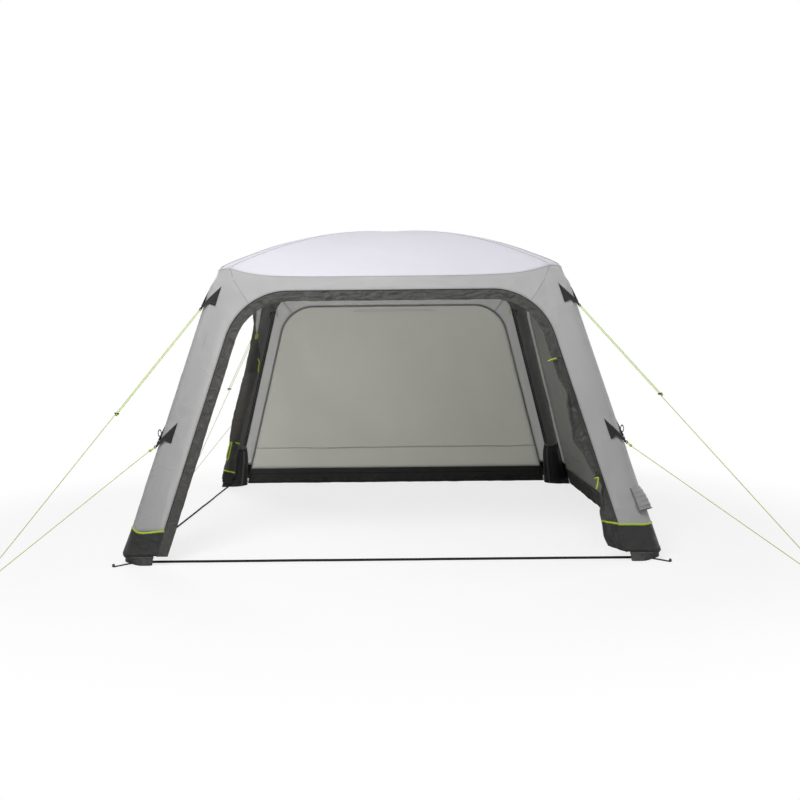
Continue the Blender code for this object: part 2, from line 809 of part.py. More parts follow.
def crown_tube(radius, over, turn, name):
    """Closed tube across the crown along one diagonal."""
    end = beam_axis()[-1]
    middle_z = roof_axis_point(CHAMFER / 2 + SEW_GAP).y
    reach = end.x - SEW_GAP * 2 + over
    points = [Vector((-reach, end.y)), Vector((-reach / 2, (end.y + middle_z) / 2))]
    points += [Vector((0, middle_z))]
    points += [Vector((reach / 2, (end.y + middle_z) / 2)), Vector((reach, end.y))]
    bm = tube(points, [radius] * len(points), upright=(0, len(points) - 1))
    bmesh.ops.holes_fill(bm, edges=[e for e in bm.edges if e.is_boundary])
    bmesh.ops.recalc_face_normals(bm, faces=bm.faces)
    return add_object(name, bm, "bladder_film", turn, True)


def make_crown():
    """Crossing where the four beams share their air."""
    crown = crown_tube(BEAM_RADIUS, 0.0, 0, "air_beam_crown")
    unite(crown, crown_tube(BEAM_RADIUS, 0.0, 1, "crown_other"))
    cut(crown, crown_tube(BEAM_RADIUS - BEAM_WALL, OVERRUN, 0, "crown_bore"))
    cut(crown, crown_tube(BEAM_RADIUS - BEAM_WALL, OVERRUN, 1, "crown_other_bore"))


# Zip sliders.


def rounded_box(bm, size, centre, bevel, axes):
    """A box with rounded edges, set along the given axes."""
    made = bmesh.ops.create_cube(bm, size=1.0)["verts"]
    bmesh.ops.scale(bm, vec=size, verts=made)
    edges = list({e for v in made for e in v.link_edges})
    bmesh.ops.bevel(bm, geom=edges, offset=bevel, offset_type="OFFSET", segments=1, profile=0.5,
                    affect="EDGES", material=-1)
    frame = Matrix(axes).transposed()
    for vert in bm.verts:
        vert.co = frame @ vert.co + centre
    return bm


def leg_direction():
    """Unit vector up the leg's axis."""
    return corner_point(-math.sin(LEAN), 0, math.cos(LEAN))


def leg_normal():
    """Unit vector square to the leg's axis, out of the corner and up."""
    return corner_point(math.cos(LEAN), 0, math.sin(LEAN))


def make_slider(corner, turn):
    """Zip slider on the inner side of the sleeve, with its pull."""
    axis = corner_point(leg_axis_reach(SLIDER_HEIGHT), 0, SLIDER_HEIGHT)
    up = leg_direction()
    angle = math.pi / BEAM_SIDES * (1 if corner in ("front_left", "rear_right") else -1)
    inward = Matrix.Rotation(angle, 3, up) @ -leg_normal()
    side = up.cross(inward)
    axes = (side, inward, up)
    flat = SLEEVE_RADIUS * math.cos(math.pi / BEAM_SIDES)
    seat = axis + inward * (flat + SEW_GAP + SLIDER_DEPTH / 2)
    body = rounded_box(bmesh.new(), (SLIDER_WIDTH, SLIDER_DEPTH, SLIDER_LENGTH), Vector(), SLIDER_BEVEL, axes)
    piece = add_object("sleeve_zip_slider_" + corner, body, "zip_metal", turn)
    spot = inward * (SLIDER_DEPTH / 2 - PULL_DEPTH / 4) - up * (PULL_LENGTH / 2 - SLIDER_LENGTH / 4)
    pull = rounded_box(bmesh.new(), (PULL_WIDTH, PULL_DEPTH, PULL_LENGTH), spot, PULL_DEPTH / 4, axes)
    other = add_object("slider_pull_" + corner, pull, "zip_metal", turn)
    for made in (piece, other):
        made.location = Matrix.Rotation(turn * math.pi / 2, 3, "Z") @ seat
    unite(piece, other)


# Tie-outs, ropes and runners.


def tip_point(z):
    """Where a tie-out's two wings meet, out from the chamfer."""
    return corner_point(chamfer_reach(z) + TIP_REACH, 0, z)


def rope_direction(corner, tip_z):
    """Unit vector from the tie-out's tip to the ground."""
    peg = corner_point((FOOT_HALF + PEG_OUT[corner]) * math.sqrt(2), 0, 0)
    return (peg - tip_point(tip_z)).normalized()


def tab_hole(corner, tip_z):
    """Centre of the rope hole in the tie-out's tab."""
    return tip_point(tip_z) + rope_direction(corner, tip_z) * (TAB_LENGTH / 2)


def make_tie_out(level, corner, turn, tip_z):
    """Webbing folded round the leg's corner: two wings sewn in the creases meet in a tab with a hole."""
    crease = CHAMFER / math.sqrt(2)
    high = tip_z + WING_HEIGHT
    low = tip_z + WING_FOOT
    lift = WEBBING * WING_LIFT_SHARES[level]
    tip = tip_point(tip_z)
    tip_top = tip + Vector((0, 0, TIP_LINE))
    bm = bmesh.new()
    t_low = bm.verts.new(tip)
    t_high = bm.verts.new(tip_top)
    for sign in (-1, 1):
        a = corner_point(chamfer_reach(high) + lift, sign * crease, high)
        b = corner_point(chamfer_reach(low) + lift, sign * crease, low)
        notch = b.lerp(tip, NOTCH_SHARE) + Vector((0, 0, NOTCH_RISE))
        made = [bm.verts.new(p) for p in (a, b, notch)]
        bm.faces.new((made[0], made[1], made[2], t_high))
        bm.faces.new((made[2], t_low, t_high))
    bmesh.ops.recalc_face_normals(bm, faces=bm.faces)
    turn_outwards(bm, outward())
    name = "tie_out_%s_%s" % (level, corner)
    piece = add_object(name, bm, "webbing", turn)
    thicken(piece, WEBBING)
    along = rope_direction(corner, tip_z)
    side = across()
    axes = (along, side, along.cross(side))
    middle = tab_hole(corner, tip_z) - along * (TAB_THICKNESS / 2)
    size = (TAB_LENGTH, TAB_THICKNESS, TAB_WIDTH)
    tab = rounded_box(bmesh.new(), size, middle, TAB_THICKNESS / 6, axes)
    unite(piece, add_object("tab_%s_%s" % (level, corner), tab, "webbing", turn))
    hole = rod(tab_hole(corner, tip_z), side, ROPE_DIAMETER / 2 + ROPE_CLEARANCE, OVERRUN, 12)
    cut(piece, add_object("tab_hole_%s_%s" % (level, corner), hole, "webbing", turn))


def rod(centre, direction, radius, half_length, sides):
    """A closed cylinder about a centre, along a direction."""
    bm = bmesh.new()
    bmesh.ops.create_cone(bm, cap_ends=True, segments=sides, radius1=radius, radius2=radius,
                          depth=half_length * 2)
    turned = direction.to_track_quat("Z", "Y").to_matrix().to_4x4()
    bmesh.ops.transform(bm, matrix=Matrix.Translation(centre) @ turned, verts=bm.verts)
    return bm


def eye_points(radius, side_sign):
    """Half circle round an eye: along the rope and across it, from one strand to the other."""
    found = []
    steps = 6
    for i in range(steps + 1):
        angle = math.pi * i / steps
        found.append((radius - radius * math.sin(angle), side_sign * radius * math.cos(angle)))
    return found


def rope_route(corner, tip_z, doubled):
    """Route of a guy rope as distances along and across the rope: tail, tie-out eye, run, peg eye."""
    start = tab_hole(corner, tip_z)
    along = rope_direction(corner, tip_z)
    end_height = UPPER_END_HEIGHT if doubled else LOWER_END_HEIGHT
    total = (start.z - end_height) / -along.z
    main = -EYE_RADIUS
    if doubled:
        runner = RUNNER_PLACE[corner]
        route = [(runner + KNOT_PAST_RUNNER, EYE_RADIUS), (runner / 2, EYE_RADIUS)]
    else:
        beside = main + KNOT_PITCH
        route = [(EYE_LENGTH, beside), (EYE_LENGTH * 0.8, beside), (EYE_LENGTH * 0.5, EYE_RADIUS * 0.6)]
    route += [(EYE_RADIUS * 1.6, EYE_RADIUS)]
    route += eye_points(EYE_RADIUS, 1)
    route += [(EYE_RADIUS * 1.6, main), (total / 2, main), (total - PEG_EYE_LENGTH, main)]
    turn_start = total - PEG_EYE_RADIUS
    middle = main + PEG_EYE_RADIUS
    for i in range(7):
        angle = math.pi * i / 6
        reach = turn_start + PEG_EYE_RADIUS * math.sin(angle)
        route.append((reach, middle - PEG_EYE_RADIUS * math.cos(angle)))
    beside = main + KNOT_PITCH
    close = total - PEG_EYE_LENGTH
    route += [(close + PEG_EYE_LENGTH * 0.45, middle + PEG_EYE_RADIUS * 0.35)]
    route += [(close + PEG_EYE_LENGTH * 0.15, beside), (close, beside)]
    side = across()
    return [start + along * reach + side * offset for reach, offset in route]


def make_rope(level, corner, turn, tip_z):
    """Taut guy rope from the tie-out to the ground, with an eye at each end."""
    points = rope_route(corner, tip_z, level == "upper")
    name = "guy_rope_%s_%s" % (level, corner)
    curve = bpy.data.curves.new(name, "CURVE")
    curve.dimensions = "3D"
    curve.bevel_depth = ROPE_DIAMETER / 2
    curve.bevel_resolution = 2
    curve.use_fill_caps = True
    spline = curve.splines.new("POLY")
    spline.points.add(len(points) - 1)
    for target, point in zip(spline.points, points):
        target.co = (*point, 1.0)
    piece = bpy.data.objects.new(name, curve)
    bpy.context.scene.collection.objects.link(piece)
    piece.rotation_euler.z = turn * math.pi / 2
    curve.materials.append(finish("rope"))


def make_runner(corner, turn):
    """Runner on the upper rope: a bar with a hole for each strand."""
    along = rope_direction(corner, UPPER_TIP)
    side = across()
    axes = (side, along, side.cross(along))
    centre = tab_hole(corner, UPPER_TIP) + along * RUNNER_PLACE[corner]
    size = (RUNNER_LENGTH, RUNNER_THICKNESS, RUNNER_HEIGHT)
    body = rounded_box(bmesh.new(), size, Vector(), RUNNER_BEVEL, axes)
    piece = add_object("runner_" + corner, body, "runner_plastic", turn)
    spot = Matrix.Rotation(turn * math.pi / 2, 3, "Z") @ centre
    piece.location = spot
    for sign in (-1, 1):
        hole = rod(side * (sign * EYE_RADIUS), along, ROPE_DIAMETER / 2 + ROPE_CLEARANCE, OVERRUN, 12)
        cutter = add_object("runner_hole_%s_%d" % (corner, sign), hole, "runner_plastic", turn)
        cutter.location = spot
        cut(piece, cutter)


# Valve and hood.


def turned_profile(profile, steps):
    """A closed outline, as radius and height, turned about Z."""
    bm = bmesh.new()
    verts = [bm.verts.new((radius, 0, height)) for radius, height in profile]
    edges = [bm.edges.new((a, b)) for a, b in zip(verts, verts[1:])]
    if profile[0][0] > 0:
        edges.append(bm.edges.new((verts[-1], verts[0])))
    bmesh.ops.spin(bm, geom=verts + edges, cent=(0, 0, 0), axis=(0, 0, 1), angle=2 * math.pi,
                   steps=steps, use_merge=True)
    bmesh.ops.remove_doubles(bm, verts=bm.verts, dist=SEW_GAP / 10)
    bmesh.ops.recalc_face_normals(bm, faces=bm.faces)
    return bm


def valve_frame():
    """Turns Z to the valve's axis and moves the origin to the beam's axis there."""
    seat = corner_point(leg_axis_reach(VALVE_HEIGHT), 0, VALVE_HEIGHT)
    turned = leg_normal().to_track_quat("Z", "Y").to_matrix().to_4x4()
    return Matrix.Translation(seat) @ turned


def make_valve(turn):
    """Valve body through the beam, the sleeve and the corner's fabric, and its quarter-turn cap."""
    outside = STRIP_RADIUS + SEW_GAP
    inside = BEAM_RADIUS - BEAM_WALL - VALVE_TAIL
    flange_top = outside + VALVE_FLANGE
    profile = [
        (VALVE_BORE_RADIUS, inside),
        (VALVE_NECK_RADIUS, inside),
        (VALVE_NECK_RADIUS, outside),
        (VALVE_FLANGE_RADIUS, outside),
        (VALVE_FLANGE_RADIUS, flange_top),
        (VALVE_BORE_RADIUS, flange_top),
    ]
    bm = turned_profile(profile, 24)
    bmesh.ops.transform(bm, matrix=valve_frame(), verts=bm.verts)
    add_object("valve_body", bm, "valve_plastic", turn, True)
    low = flange_top + SEW_GAP
    high = low + CAP_HEIGHT
    profile = [
        (0.0, low),
        (CAP_RADIUS, low),
        (CAP_RADIUS, high - CAP_BEVEL),
        (CAP_RADIUS - CAP_BEVEL, high),
        (0.0, high),
    ]
    bm = turned_profile(profile, 24)
    bmesh.ops.transform(bm, matrix=valve_frame(), verts=bm.verts)
    cap = add_object("valve_cap", bm, "valve_plastic", turn, True)
    bm = bmesh.new()
    bmesh.ops.create_cube(bm, size=1.0)
    bmesh.ops.scale(bm, vec=(CAP_RADIUS * 1.5, CAP_GRIP_WIDTH, CAP_GRIP_HEIGHT * 2), verts=bm.verts)
    bmesh.ops.translate(bm, vec=(0, 0, high), verts=bm.verts)
    bmesh.ops.transform(bm, matrix=valve_frame(), verts=bm.verts)
    unite(cap, add_object("cap_grip", bm, "valve_plastic", turn))


def valve_cutter(name, turn, radius):
    """Cutter for the valve's neck, from the beam's axis outwards."""
    depth = SLEEVE_RADIUS + OVERRUN * 2
    bm = rod(Vector((0, 0, depth / 2)), Vector((0, 0, 1)), radius, depth / 2, 24)
    bmesh.ops.transform(bm, matrix=valve_frame(), verts=bm.verts)
    return add_object(name, bm, "valve_plastic", turn)


def make_hood(turn):
    """Fabric hood over the valve, fixed along its top edge and open below."""
    up = leg_direction()
    out = leg_normal()
    side = across()
    axis = corner_point(leg_axis_reach(HOOD_TOP), 0, HOOD_TOP)
    radius = STRIP_RADIUS + SEW_GAP + FABRIC * 1.5
    columns = 8
    rows = 6
    bm = bmesh.new()
    grid = []
    for j in range(rows + 1):
        down = j / rows
        line = []
        for i in range(columns + 1):
            share = -1 + 2 * i / columns
            angle = share * math.radians(HOOD_ANGLE)
            bulge = math.sqrt(max(1 - share**2, 0.0)) * math.sin(down * math.pi / 2) ** 0.8
            away = radius * (math.cos(angle) - 1) + HOOD_RISE * bulge
            point = side * (radius * math.sin(angle)) - up * (down * HOOD_LENGTH) + out * away
            line.append(bm.verts.new(point))
        grid.append(line)
    for low, high in zip(grid, grid[1:]):
        for i in range(columns):
            bm.faces.new((low[i], low[i + 1], high[i + 1], high[i]))
    bmesh.ops.recalc_face_normals(bm, faces=bm.faces)
    turn_outwards(bm, out)
    piece = add_object("valve_hood", bm, "facade_fabric", turn)
    piece.location = Matrix.Rotation(turn * math.pi / 2, 3, "Z") @ (axis + out * radius)
    thicken(piece, FABRIC)


def make_leg_parts():
    """Everything that each of the four legs has."""
    for turn, corner in enumerate(CORNERS):
        beam = make_beam(corner, turn)
        sleeve = make_sleeve(corner, turn)
        if corner == "front_right":
            neck = VALVE_NECK_RADIUS + SEW_GAP
            cut(beam, valve_cutter("beam_hole", turn, neck))
            cut(sleeve, valve_cutter("sleeve_hole", turn, neck))
        make_slider(corner, turn)
        make_boot(corner, turn)
        make_pad(corner, turn)
        make_runner(corner, turn)
        for level, tip_z in (("upper", UPPER_TIP), ("lower", LOWER_TIP)):
            make_tie_out(level, corner, turn, tip_z)
            make_rope(level, corner, turn, tip_z)


def make_covers():
    """Roof, facades, trims, walls and straps."""
    make_roof()
    open_arch = Arch(OPEN_ARCH_TOP, OPEN_ARCH_RADIUS)
    wall_arch = Arch(WALL_ARCH_TOP, WALL_ARCH_RADIUS)
    for turn, side in enumerate(SIDES):
        arch = wall_arch if side in ("rear", "right") else open_arch
        facade = make_facade(side, turn, arch, side in ("front", "rear"))
        if side == "front":
            cut(facade, valve_cutter("facade_hole", 1, VALVE_NECK_RADIUS + SEW_GAP))
    make_trim("front", 0, 1, FRONT_TIED_SHARES)
    make_trim("left", 3, -1, LEFT_TIED_SHARES)
    make_wall("rear", 2)
    make_wall("right", 1)
    make_strap("front", 0)
    make_strap("left", 3)


def main():
    clear_scene()
    make_covers()
    make_leg_parts()
    make_crown()
    make_valve(1)
    make_hood(1)


main()
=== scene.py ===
"""Looks of an inflatable day shelter on four splayed legs: cloth, zips, webbing, ropes and their
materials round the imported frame. Metres, +Z up, the front towards -Y, the origin on the ground."""

import functools
import math

import bmesh
import bpy
from mathutils import Matrix, Vector, noise


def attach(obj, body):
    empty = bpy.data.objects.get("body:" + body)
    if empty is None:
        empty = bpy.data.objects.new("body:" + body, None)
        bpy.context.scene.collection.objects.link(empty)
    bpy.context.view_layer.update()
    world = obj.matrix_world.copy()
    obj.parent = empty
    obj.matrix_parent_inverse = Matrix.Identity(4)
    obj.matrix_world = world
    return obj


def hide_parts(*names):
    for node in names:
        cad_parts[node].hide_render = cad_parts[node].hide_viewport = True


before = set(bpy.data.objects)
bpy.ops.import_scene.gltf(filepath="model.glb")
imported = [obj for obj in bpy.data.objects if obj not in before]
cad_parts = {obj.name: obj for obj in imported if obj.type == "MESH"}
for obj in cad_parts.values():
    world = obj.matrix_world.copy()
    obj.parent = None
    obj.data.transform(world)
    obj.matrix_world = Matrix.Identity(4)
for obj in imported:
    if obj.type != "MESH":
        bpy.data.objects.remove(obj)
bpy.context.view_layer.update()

# Whole shelter.
FOOT_HALF = 1.539
EAVES_HALF = 1.062
EAVES_HEIGHT = 1.690
ROOF_RISE = 0.345
CHAMFER = 0.084
LEG_FACE = 0.200
CLOTH = 0.0015
GAP = 0.0004
CROWN_SHARE = 0.94
SIDES = ("front", "right", "rear", "left")
CLOSED_SIDES = ("rear", "right")
OPEN_SIDES = ("front", "left")
CORNERS = ("front_left", "front_right", "rear_right", "rear_left")
SLOPE = (FOOT_HALF - EAVES_HALF) / EAVES_HEIGHT
LEAN = math.atan(math.sqrt(2) * SLOPE)

# Eaves seam.
SEAM_CORNER = 1.682
SEAM_MIDDLE = 1.640
SEAM_POWER = 5
CLOSE_POWER = 0.45
CREASE_TURN = 1.24
CREASE_NEAR = 0.045
CREASE_INSIDE = 0.05
CREASE_SMOOTHINGS = 10

# Openings.
OPEN_ARCH = (1.556, 0.380)
WALL_ARCH = (1.566, 0.300)
TRIM_WIDTH = 0.064
TRIM_FOOT = 0.048
FLAP_RISE = 0.035
HEM_IN = 0.006

# Feet.
BOOT_TOP = 0.190
BOOT_FOOT = 0.0515
SIDE_FOOT = 0.178
BASE_TOP = 0.0496
BASE_CUT = 0.112
BASE_CORNER = 1.400
BASE_REACH = (2 * FOOT_HALF - BASE_CUT) / math.sqrt(2)
BASE_MIDDLE = BASE_REACH - 0.12
PAD_INNER = 1.340
TONGUE_REACH = 2.206
TONGUE_WIDTH = 0.022
TONGUE_THICKNESS = 0.003
EYELET_LENGTH = 0.022
EYELET_WIDTH = 0.010
EYELET_INSET = 0.012
SLOT_MIDDLE = TONGUE_REACH - EYELET_INSET - EYELET_LENGTH / 2
SLOT_STRAIGHT = (EYELET_LENGTH - EYELET_WIDTH) / 2
STRAP_LINE = 1.474
STRAP_HEIGHT = 0.015
STRAP_TUCK = 0.030

# Beams and sleeves.
BEAM_INSET = 0.063
SLEEVE_RADIUS = 0.058
SLEEVE_FOOT = 0.032
STRIP_RADIUS = SLEEVE_RADIUS + 0.0035 + CLOTH
KNEE_DROP = 0.145
KNEE_SHARE = 0.83
CROWN_REACH = 0.220
SLIDER_HEIGHT = 1.530
CUFF_TOP = 0.370
CUFF_CLOTH = 0.0014
CUFF_FLARE = {"front_left": 0.030, "front_right": 0.030, "rear_right": 0.097, "rear_left": 0.092}
ZIP_ANGLE = math.radians(18)

# Corners where the bands meet the eaves.
SHOULDER_IN = 0.020
SHOULDER_UP = 0.017
SHOULDER_SPREAD = 0.30
SHOULDER_FOOT = 1.605
SHOULDER_RUN = 0.075

# Walls.
SKIRT_TOP = 0.143
SKIRT_FOOT = 0.004
WALL_FOOT = SKIRT_TOP + GAP
FOLD_DEPTH = 0.014
SEAM_HEIGHTS = (0.333, WALL_FOOT + 0.004)
TUCK_DROPS = (0.030, 0.042)
TUCK_SPAN = 0.42
SKIRT_SEAM_HEIGHTS = (0.094, 0.022)

# Tie-outs, ropes and runners.
TIP_HEIGHTS = {"upper": 1.458, "lower": 0.657}
TIP_REACH = 0.060
WING_HEIGHT = 0.132
WING_FOOT = 0.012
NOTCH_RISE = 0.026
NOTCH_SHARE = 0.42
TIP_LINE = 0.012
WEBBING = 0.002
WING_LIFT = {"upper": 0.0065, "lower": 0.0071}
TAB_LENGTH = 0.022
ROPE_DIAMETER = 0.004
EYE_RADIUS = 0.009
KNOT_PITCH = 0.0052
KNOT_WIDTH = 0.0056
TAIL_KNOT_WIDTH = 0.0038
EYE_LENGTH = 0.042
PEG_EYE_RADIUS = 0.012
PEG_EYE_LENGTH = 0.075
END_HEIGHT = {"upper": 0.019, "lower": 0.004}
PEG_REACH = {"front_left": 2.093, "front_right": 2.195, "rear_right": 1.975, "rear_left": 1.975}
RUNNER_PLACE = {"front_left": 0.810, "front_right": 0.738, "rear_right": 0.800, "rear_left": 0.760}
KNOT_PAST_RUNNER = 0.012

# Valve hood.
HOOD_TOP = 0.380
HOOD_ANGLE = 50
HOOD_LENGTH = 0.140
HOOD_RISE = 0.033
HOOD_CUT = (0.145, 0.160)

# Tapes, seams and pipings: width and how far they stand out.
TAPES = {
    "mitre": (0.008, 0.0009),
    "arch_hem": (0.011, 0.0009),
    "roof_band": (0.009, 0.0010),
    "eaves": (0.006, 0.0008),
    "trim_seam": (0.006, 0.0014),
    "piping": (0.011, 0.0030),
    "wall_seam": (0.009, 0.0009),
    "wall_tuck": (0.004, 0.0007),
    "wall_zip": (0.004, 0.0010),
    "dark_hem": (0.008, 0.0014),
    "base_binding": (0.010, 0.0016),
    "sleeve_zip": (0.013, 0.0018),
    "sleeve_seam": (0.009, 0.0012),
    "cuff_webbing": (0.020, 0.0016),
    "wing_hem": (0.007, 0.0012),
    "hood_binding": (0.006, 0.0014),
    "slider_loop": (0.007, 0.0016),
}

# Camera, fitted to the photograph: its place, its yaw, downward pitch and roll, and its lens.
CAMERA_PLACE = (0.075, -6.5173, 1.2025)
CAMERA_TURN = (-0.0037, 0.0569, 0.0106)
LENS_PIXELS = 897.759
PHOTO_PIXELS = 800
FILM_WIDTH = 36

# Studio: place, size and power of each lamp, and how the floor fades to white with its distance.
LAMPS = {
    "key": ((-0.8, -3.3, 4.7), 2.4, 138),
    "front_fill": ((4.4, -13.0, 2.0), 4.5, 130),
    "rear_fill": ((-5.0, 7.5, 3.2), 4.5, 440),
    "side_fill": ((7.5, 2.0, 3.2), 4.0, 150),
}
LAMP_AIM = (0, -0.3, 1.0)
SURROUND_LIGHT = 0.18
FLOOR_HALF = 60
FLOOR_HEIGHT = -0.0012
FLOOR_SHADE = 0.44
FLOOR_SHADE_SEEN = 0.25
FLOOR_GLOW = 0.76
FLOOR_FADE = (2.4, 3.8)


# Camera.


def add_camera():
    """The photograph's point of view."""
    yaw, pitch, roll = CAMERA_TURN
    right = Vector((math.cos(yaw), -math.sin(yaw), 0))
    up = Vector((math.sin(yaw) * math.sin(pitch), math.cos(yaw) * math.sin(pitch), math.cos(pitch)))
    ahead = Vector((math.sin(yaw) * math.cos(pitch), math.cos(yaw) * math.cos(pitch), -math.sin(pitch)))
    x_axis = right * math.cos(roll) - up * math.sin(roll)
    y_axis = right * math.sin(roll) + up * math.cos(roll)
    data = bpy.data.cameras.new("camera")
    data.sensor_width = FILM_WIDTH
    data.lens = FILM_WIDTH * LENS_PIXELS / PHOTO_PIXELS
    data.clip_end = 200
    camera = bpy.data.objects.new("camera", data)
    bpy.context.scene.collection.objects.link(camera)
    turned = Matrix((x_axis, y_axis, -ahead)).transposed().to_4x4()
    camera.matrix_world = Matrix.Translation(CAMERA_PLACE) @ turned
    bpy.context.scene.camera = camera


# Small sums.


def upward(z):
    """A step straight up."""
    return Vector((0, 0, z))


def quarters(turn):
    """Rotation about Z by so many quarter turns."""
    return Matrix.Rotation(turn * math.pi / 2, 3, "Z")


def clamped(value):
    """The value, held between 0 and 1."""
    return min(max(value, 0.0), 1.0)


def faded(share, near, far):
    """Rises from 0 to 1 past the start of a share and falls to 0 before its end, so steeply each."""
    return min(1.0, share * near, (1 - share) * far)


def eased(t):
    """Smooth step between 0 and 1."""
    return t * t * (3 - 2 * t)


# Shape of the shelter.


def corner_half(z):
    """Half width over the leg faces at that height."""
    return FOOT_HALF - SLOPE * z


def roof_height(half):
    """Height of the diagonal bands where the roof is that half width."""
    return EAVES_HEIGHT + ROOF_RISE * (1 - (half / EAVES_HALF) ** 2) ** CROWN_SHARE


def seam_height(share):
    """Height of the eaves seam, from the middle (0) to a corner (-1 or 1)."""
    return SEAM_MIDDLE + (SEAM_CORNER - SEAM_MIDDLE) * abs(share) ** SEAM_POWER


OUTWARD = Vector((-1, -1, 0)).normalized()
ACROSS = Vector((1, -1, 0)).normalized()
FACE_OUT = Vector((0, -1, SLOPE)).normalized()


def corner_point(reach, side, z):
    """A point by its reach along the diagonal, its distance from the diagonal plane and its height."""
    return OUTWARD * reach + ACROSS * side + upward(z)


def chamfer_reach(z):
    """Reach of the crease lines' plane along the diagonal."""
    return (2 * corner_half(z) - CHAMFER) / math.sqrt(2)


def crease_x(z):
    """Distance of a crease from the middle of its side."""
    return corner_half(z) - CHAMFER


def leg_axis_reach(z):
    """Reach of the beam's axis in the leg."""
    return math.sqrt(2) * (corner_half(z) - BEAM_INSET)


LEG_UP = corner_point(-math.sin(LEAN), 0, math.cos(LEAN))
LEG_OUT = corner_point(math.cos(LEAN), 0, math.sin(LEAN))


def roof_axis_point(half):
    """Point of the beam's axis under the roof's diagonal band, as reach and height."""
    step = EAVES_HALF / 1000
    reach = (2 * half - CHAMFER) / math.sqrt(2)
    slope = (roof_height(half + step) - roof_height(half - step)) / (2 * step * math.sqrt(2))
    length = math.hypot(1, slope)
    return Vector((reach + slope / length * STRIP_RADIUS, roof_height(half) - STRIP_RADIUS / length))


@functools.cache
def beam_axis(knee_steps, roof_steps):
    """The sleeve's axis: up the leg, round the knee and along the roof, as reach and height."""
    low = Vector((leg_axis_reach(SLEEVE_FOOT), SLEEVE_FOOT))
    knee_z = EAVES_HEIGHT - KNEE_DROP
    knee = Vector((leg_axis_reach(knee_z), knee_z))
    start = roof_axis_point(EAVES_HALF * KNEE_SHARE)
    ahead = roof_axis_point(EAVES_HALF * (KNEE_SHARE - 0.02))
    slope = (ahead - start).normalized()
    leg = (knee - low).normalized()
    away = start - knee
    turn = leg.x * slope.y - leg.y * slope.x
    control = knee + leg * ((away.x * slope.y - away.y * slope.x) / turn)
    leg_steps = knee_steps * 4
    points = [low.lerp(knee, i / leg_steps) for i in range(leg_steps)]
    for i in range(knee_steps):
        t = i / knee_steps
        points.append(knee * (1 - t) ** 2 + control * (2 * t * (1 - t)) + start * t**2)
    last_half = (CROWN_REACH * math.sqrt(2) + CHAMFER) / 2
    first_half = EAVES_HALF * KNEE_SHARE
    for i in range(roof_steps + 1):
        points.append(roof_axis_point(first_half + (last_half - first_half) * i / roof_steps))
    return points


@functools.cache
def fine_axis():
    """Close points along the beam's axis from the ground up."""
    points = [Vector((leg_axis_reach(0), 0))] + beam_axis(12, 24)[1:]
    found = []
    for a, b in zip(points, points[1:]):
        steps = max(2, int((b - a).length / 0.003))
        found += [a.lerp(b, i / steps) for i in range(steps)]
    return found


@functools.cache
def strip_reach(z, share):
    """Reach of the rounded corner strip, from one crease (-1) round the beam to the other (1)."""
    furthest = chamfer_reach(z)
    side = share * CHAMFER / math.sqrt(2)
    room = STRIP_RADIUS**2 - side**2
    if abs(share) >= 1 or room <= 0:
        return furthest
    for point in fine_axis():
        left = room - (z - point.y) ** 2
        if left > 0:
            furthest = max(furthest, point.x + math.sqrt(left))
    return furthest


def strip_spot(z, share):
    """A point of the rounded corner strip of the front left leg."""
    return corner_point(strip_reach(round(z, 5), round(share, 4)), share * CHAMFER / math.sqrt(2), z)


def front_point(x, z, proud=0.0):
    """A point of the front face, or so far out of it."""
    return Vector((x, -corner_half(z), z)) + FACE_OUT * proud


class Arch:
    """Line of an opening: straight up the legs, round at the corners, flat on top."""

    def __init__(self, top, radius, offset=0.0):
        self.top = top - offset
        self.radius = radius - offset
        self.inset = LEG_FACE + offset * math.hypot(1, SLOPE)
        self.turn = math.pi / 2 - math.atan(SLOPE)
        peak_x = corner_half(self.top) - self.inset
        self.flat_x = peak_x - self.radius * math.tan(self.turn / 2)
        self.centre_z = self.top - self.radius
        self.spring_z = self.centre_z + self.radius * math.cos(self.turn)

    def leg_x(self, z):
        """Half width between the straight legs at that height."""
        return corner_half(z) - self.inset

    def arc_point(self, share):
        """From the leg (0) to the flat top (1)."""
        angle = self.turn * (1 - share)
        return self.flat_x + self.radius * math.sin(angle), self.centre_z + self.radius * math.cos(angle)

    def half_width(self, z):
        """Half width of the opening at that height."""
        if z <= self.spring_z:
            return self.leg_x(z)
        rise = min(z - self.centre_z, self.radius)
        return self.flat_x + math.sqrt(self.radius**2 - rise**2)

    def stations(self, foot, leg_steps, arc_steps, top_steps):
        """Stations from the left foot over the top to the right foot: sign, kind, share, x and z."""
        half = []
        for i in range(leg_steps):
            share = i / leg_steps
            z = foot + (self.spring_z - foot) * share
            half.append(("leg", share, self.leg_x(z), z))
        for i in range(arc_steps):
            half.append(("arc", i / arc_steps, *self.arc_point(i / arc_steps)))
        for i in range(top_steps + 1):
            half.append(("top", i / top_steps, self.flat_x * (1 - i / top_steps), self.top))
        return [(-1, *s) for s in half] + [(1, *s) for s in reversed(half[:-1])]

    def line(self, foot, *steps):
        """Points of the front face along the opening."""
        return [front_point(sign * x, z) for sign, _, _, x, z in self.stations(foot, *steps)]


def seam_x(share):
    """Distance from the middle of the eaves seam at that share of its half length."""
    return share * crease_x(seam_height(share))


def crease_height(leg_share, arc_share=0.0):
    """Height on a crease that belongs to a station of the leg or of the arc's first half."""
    z = SIDE_FOOT + (CREASE_TURN - SIDE_FOOT) * leg_share
    return z + (SEAM_CORNER - CREASE_TURN) * arc_share ** CLOSE_POWER if arc_share else z


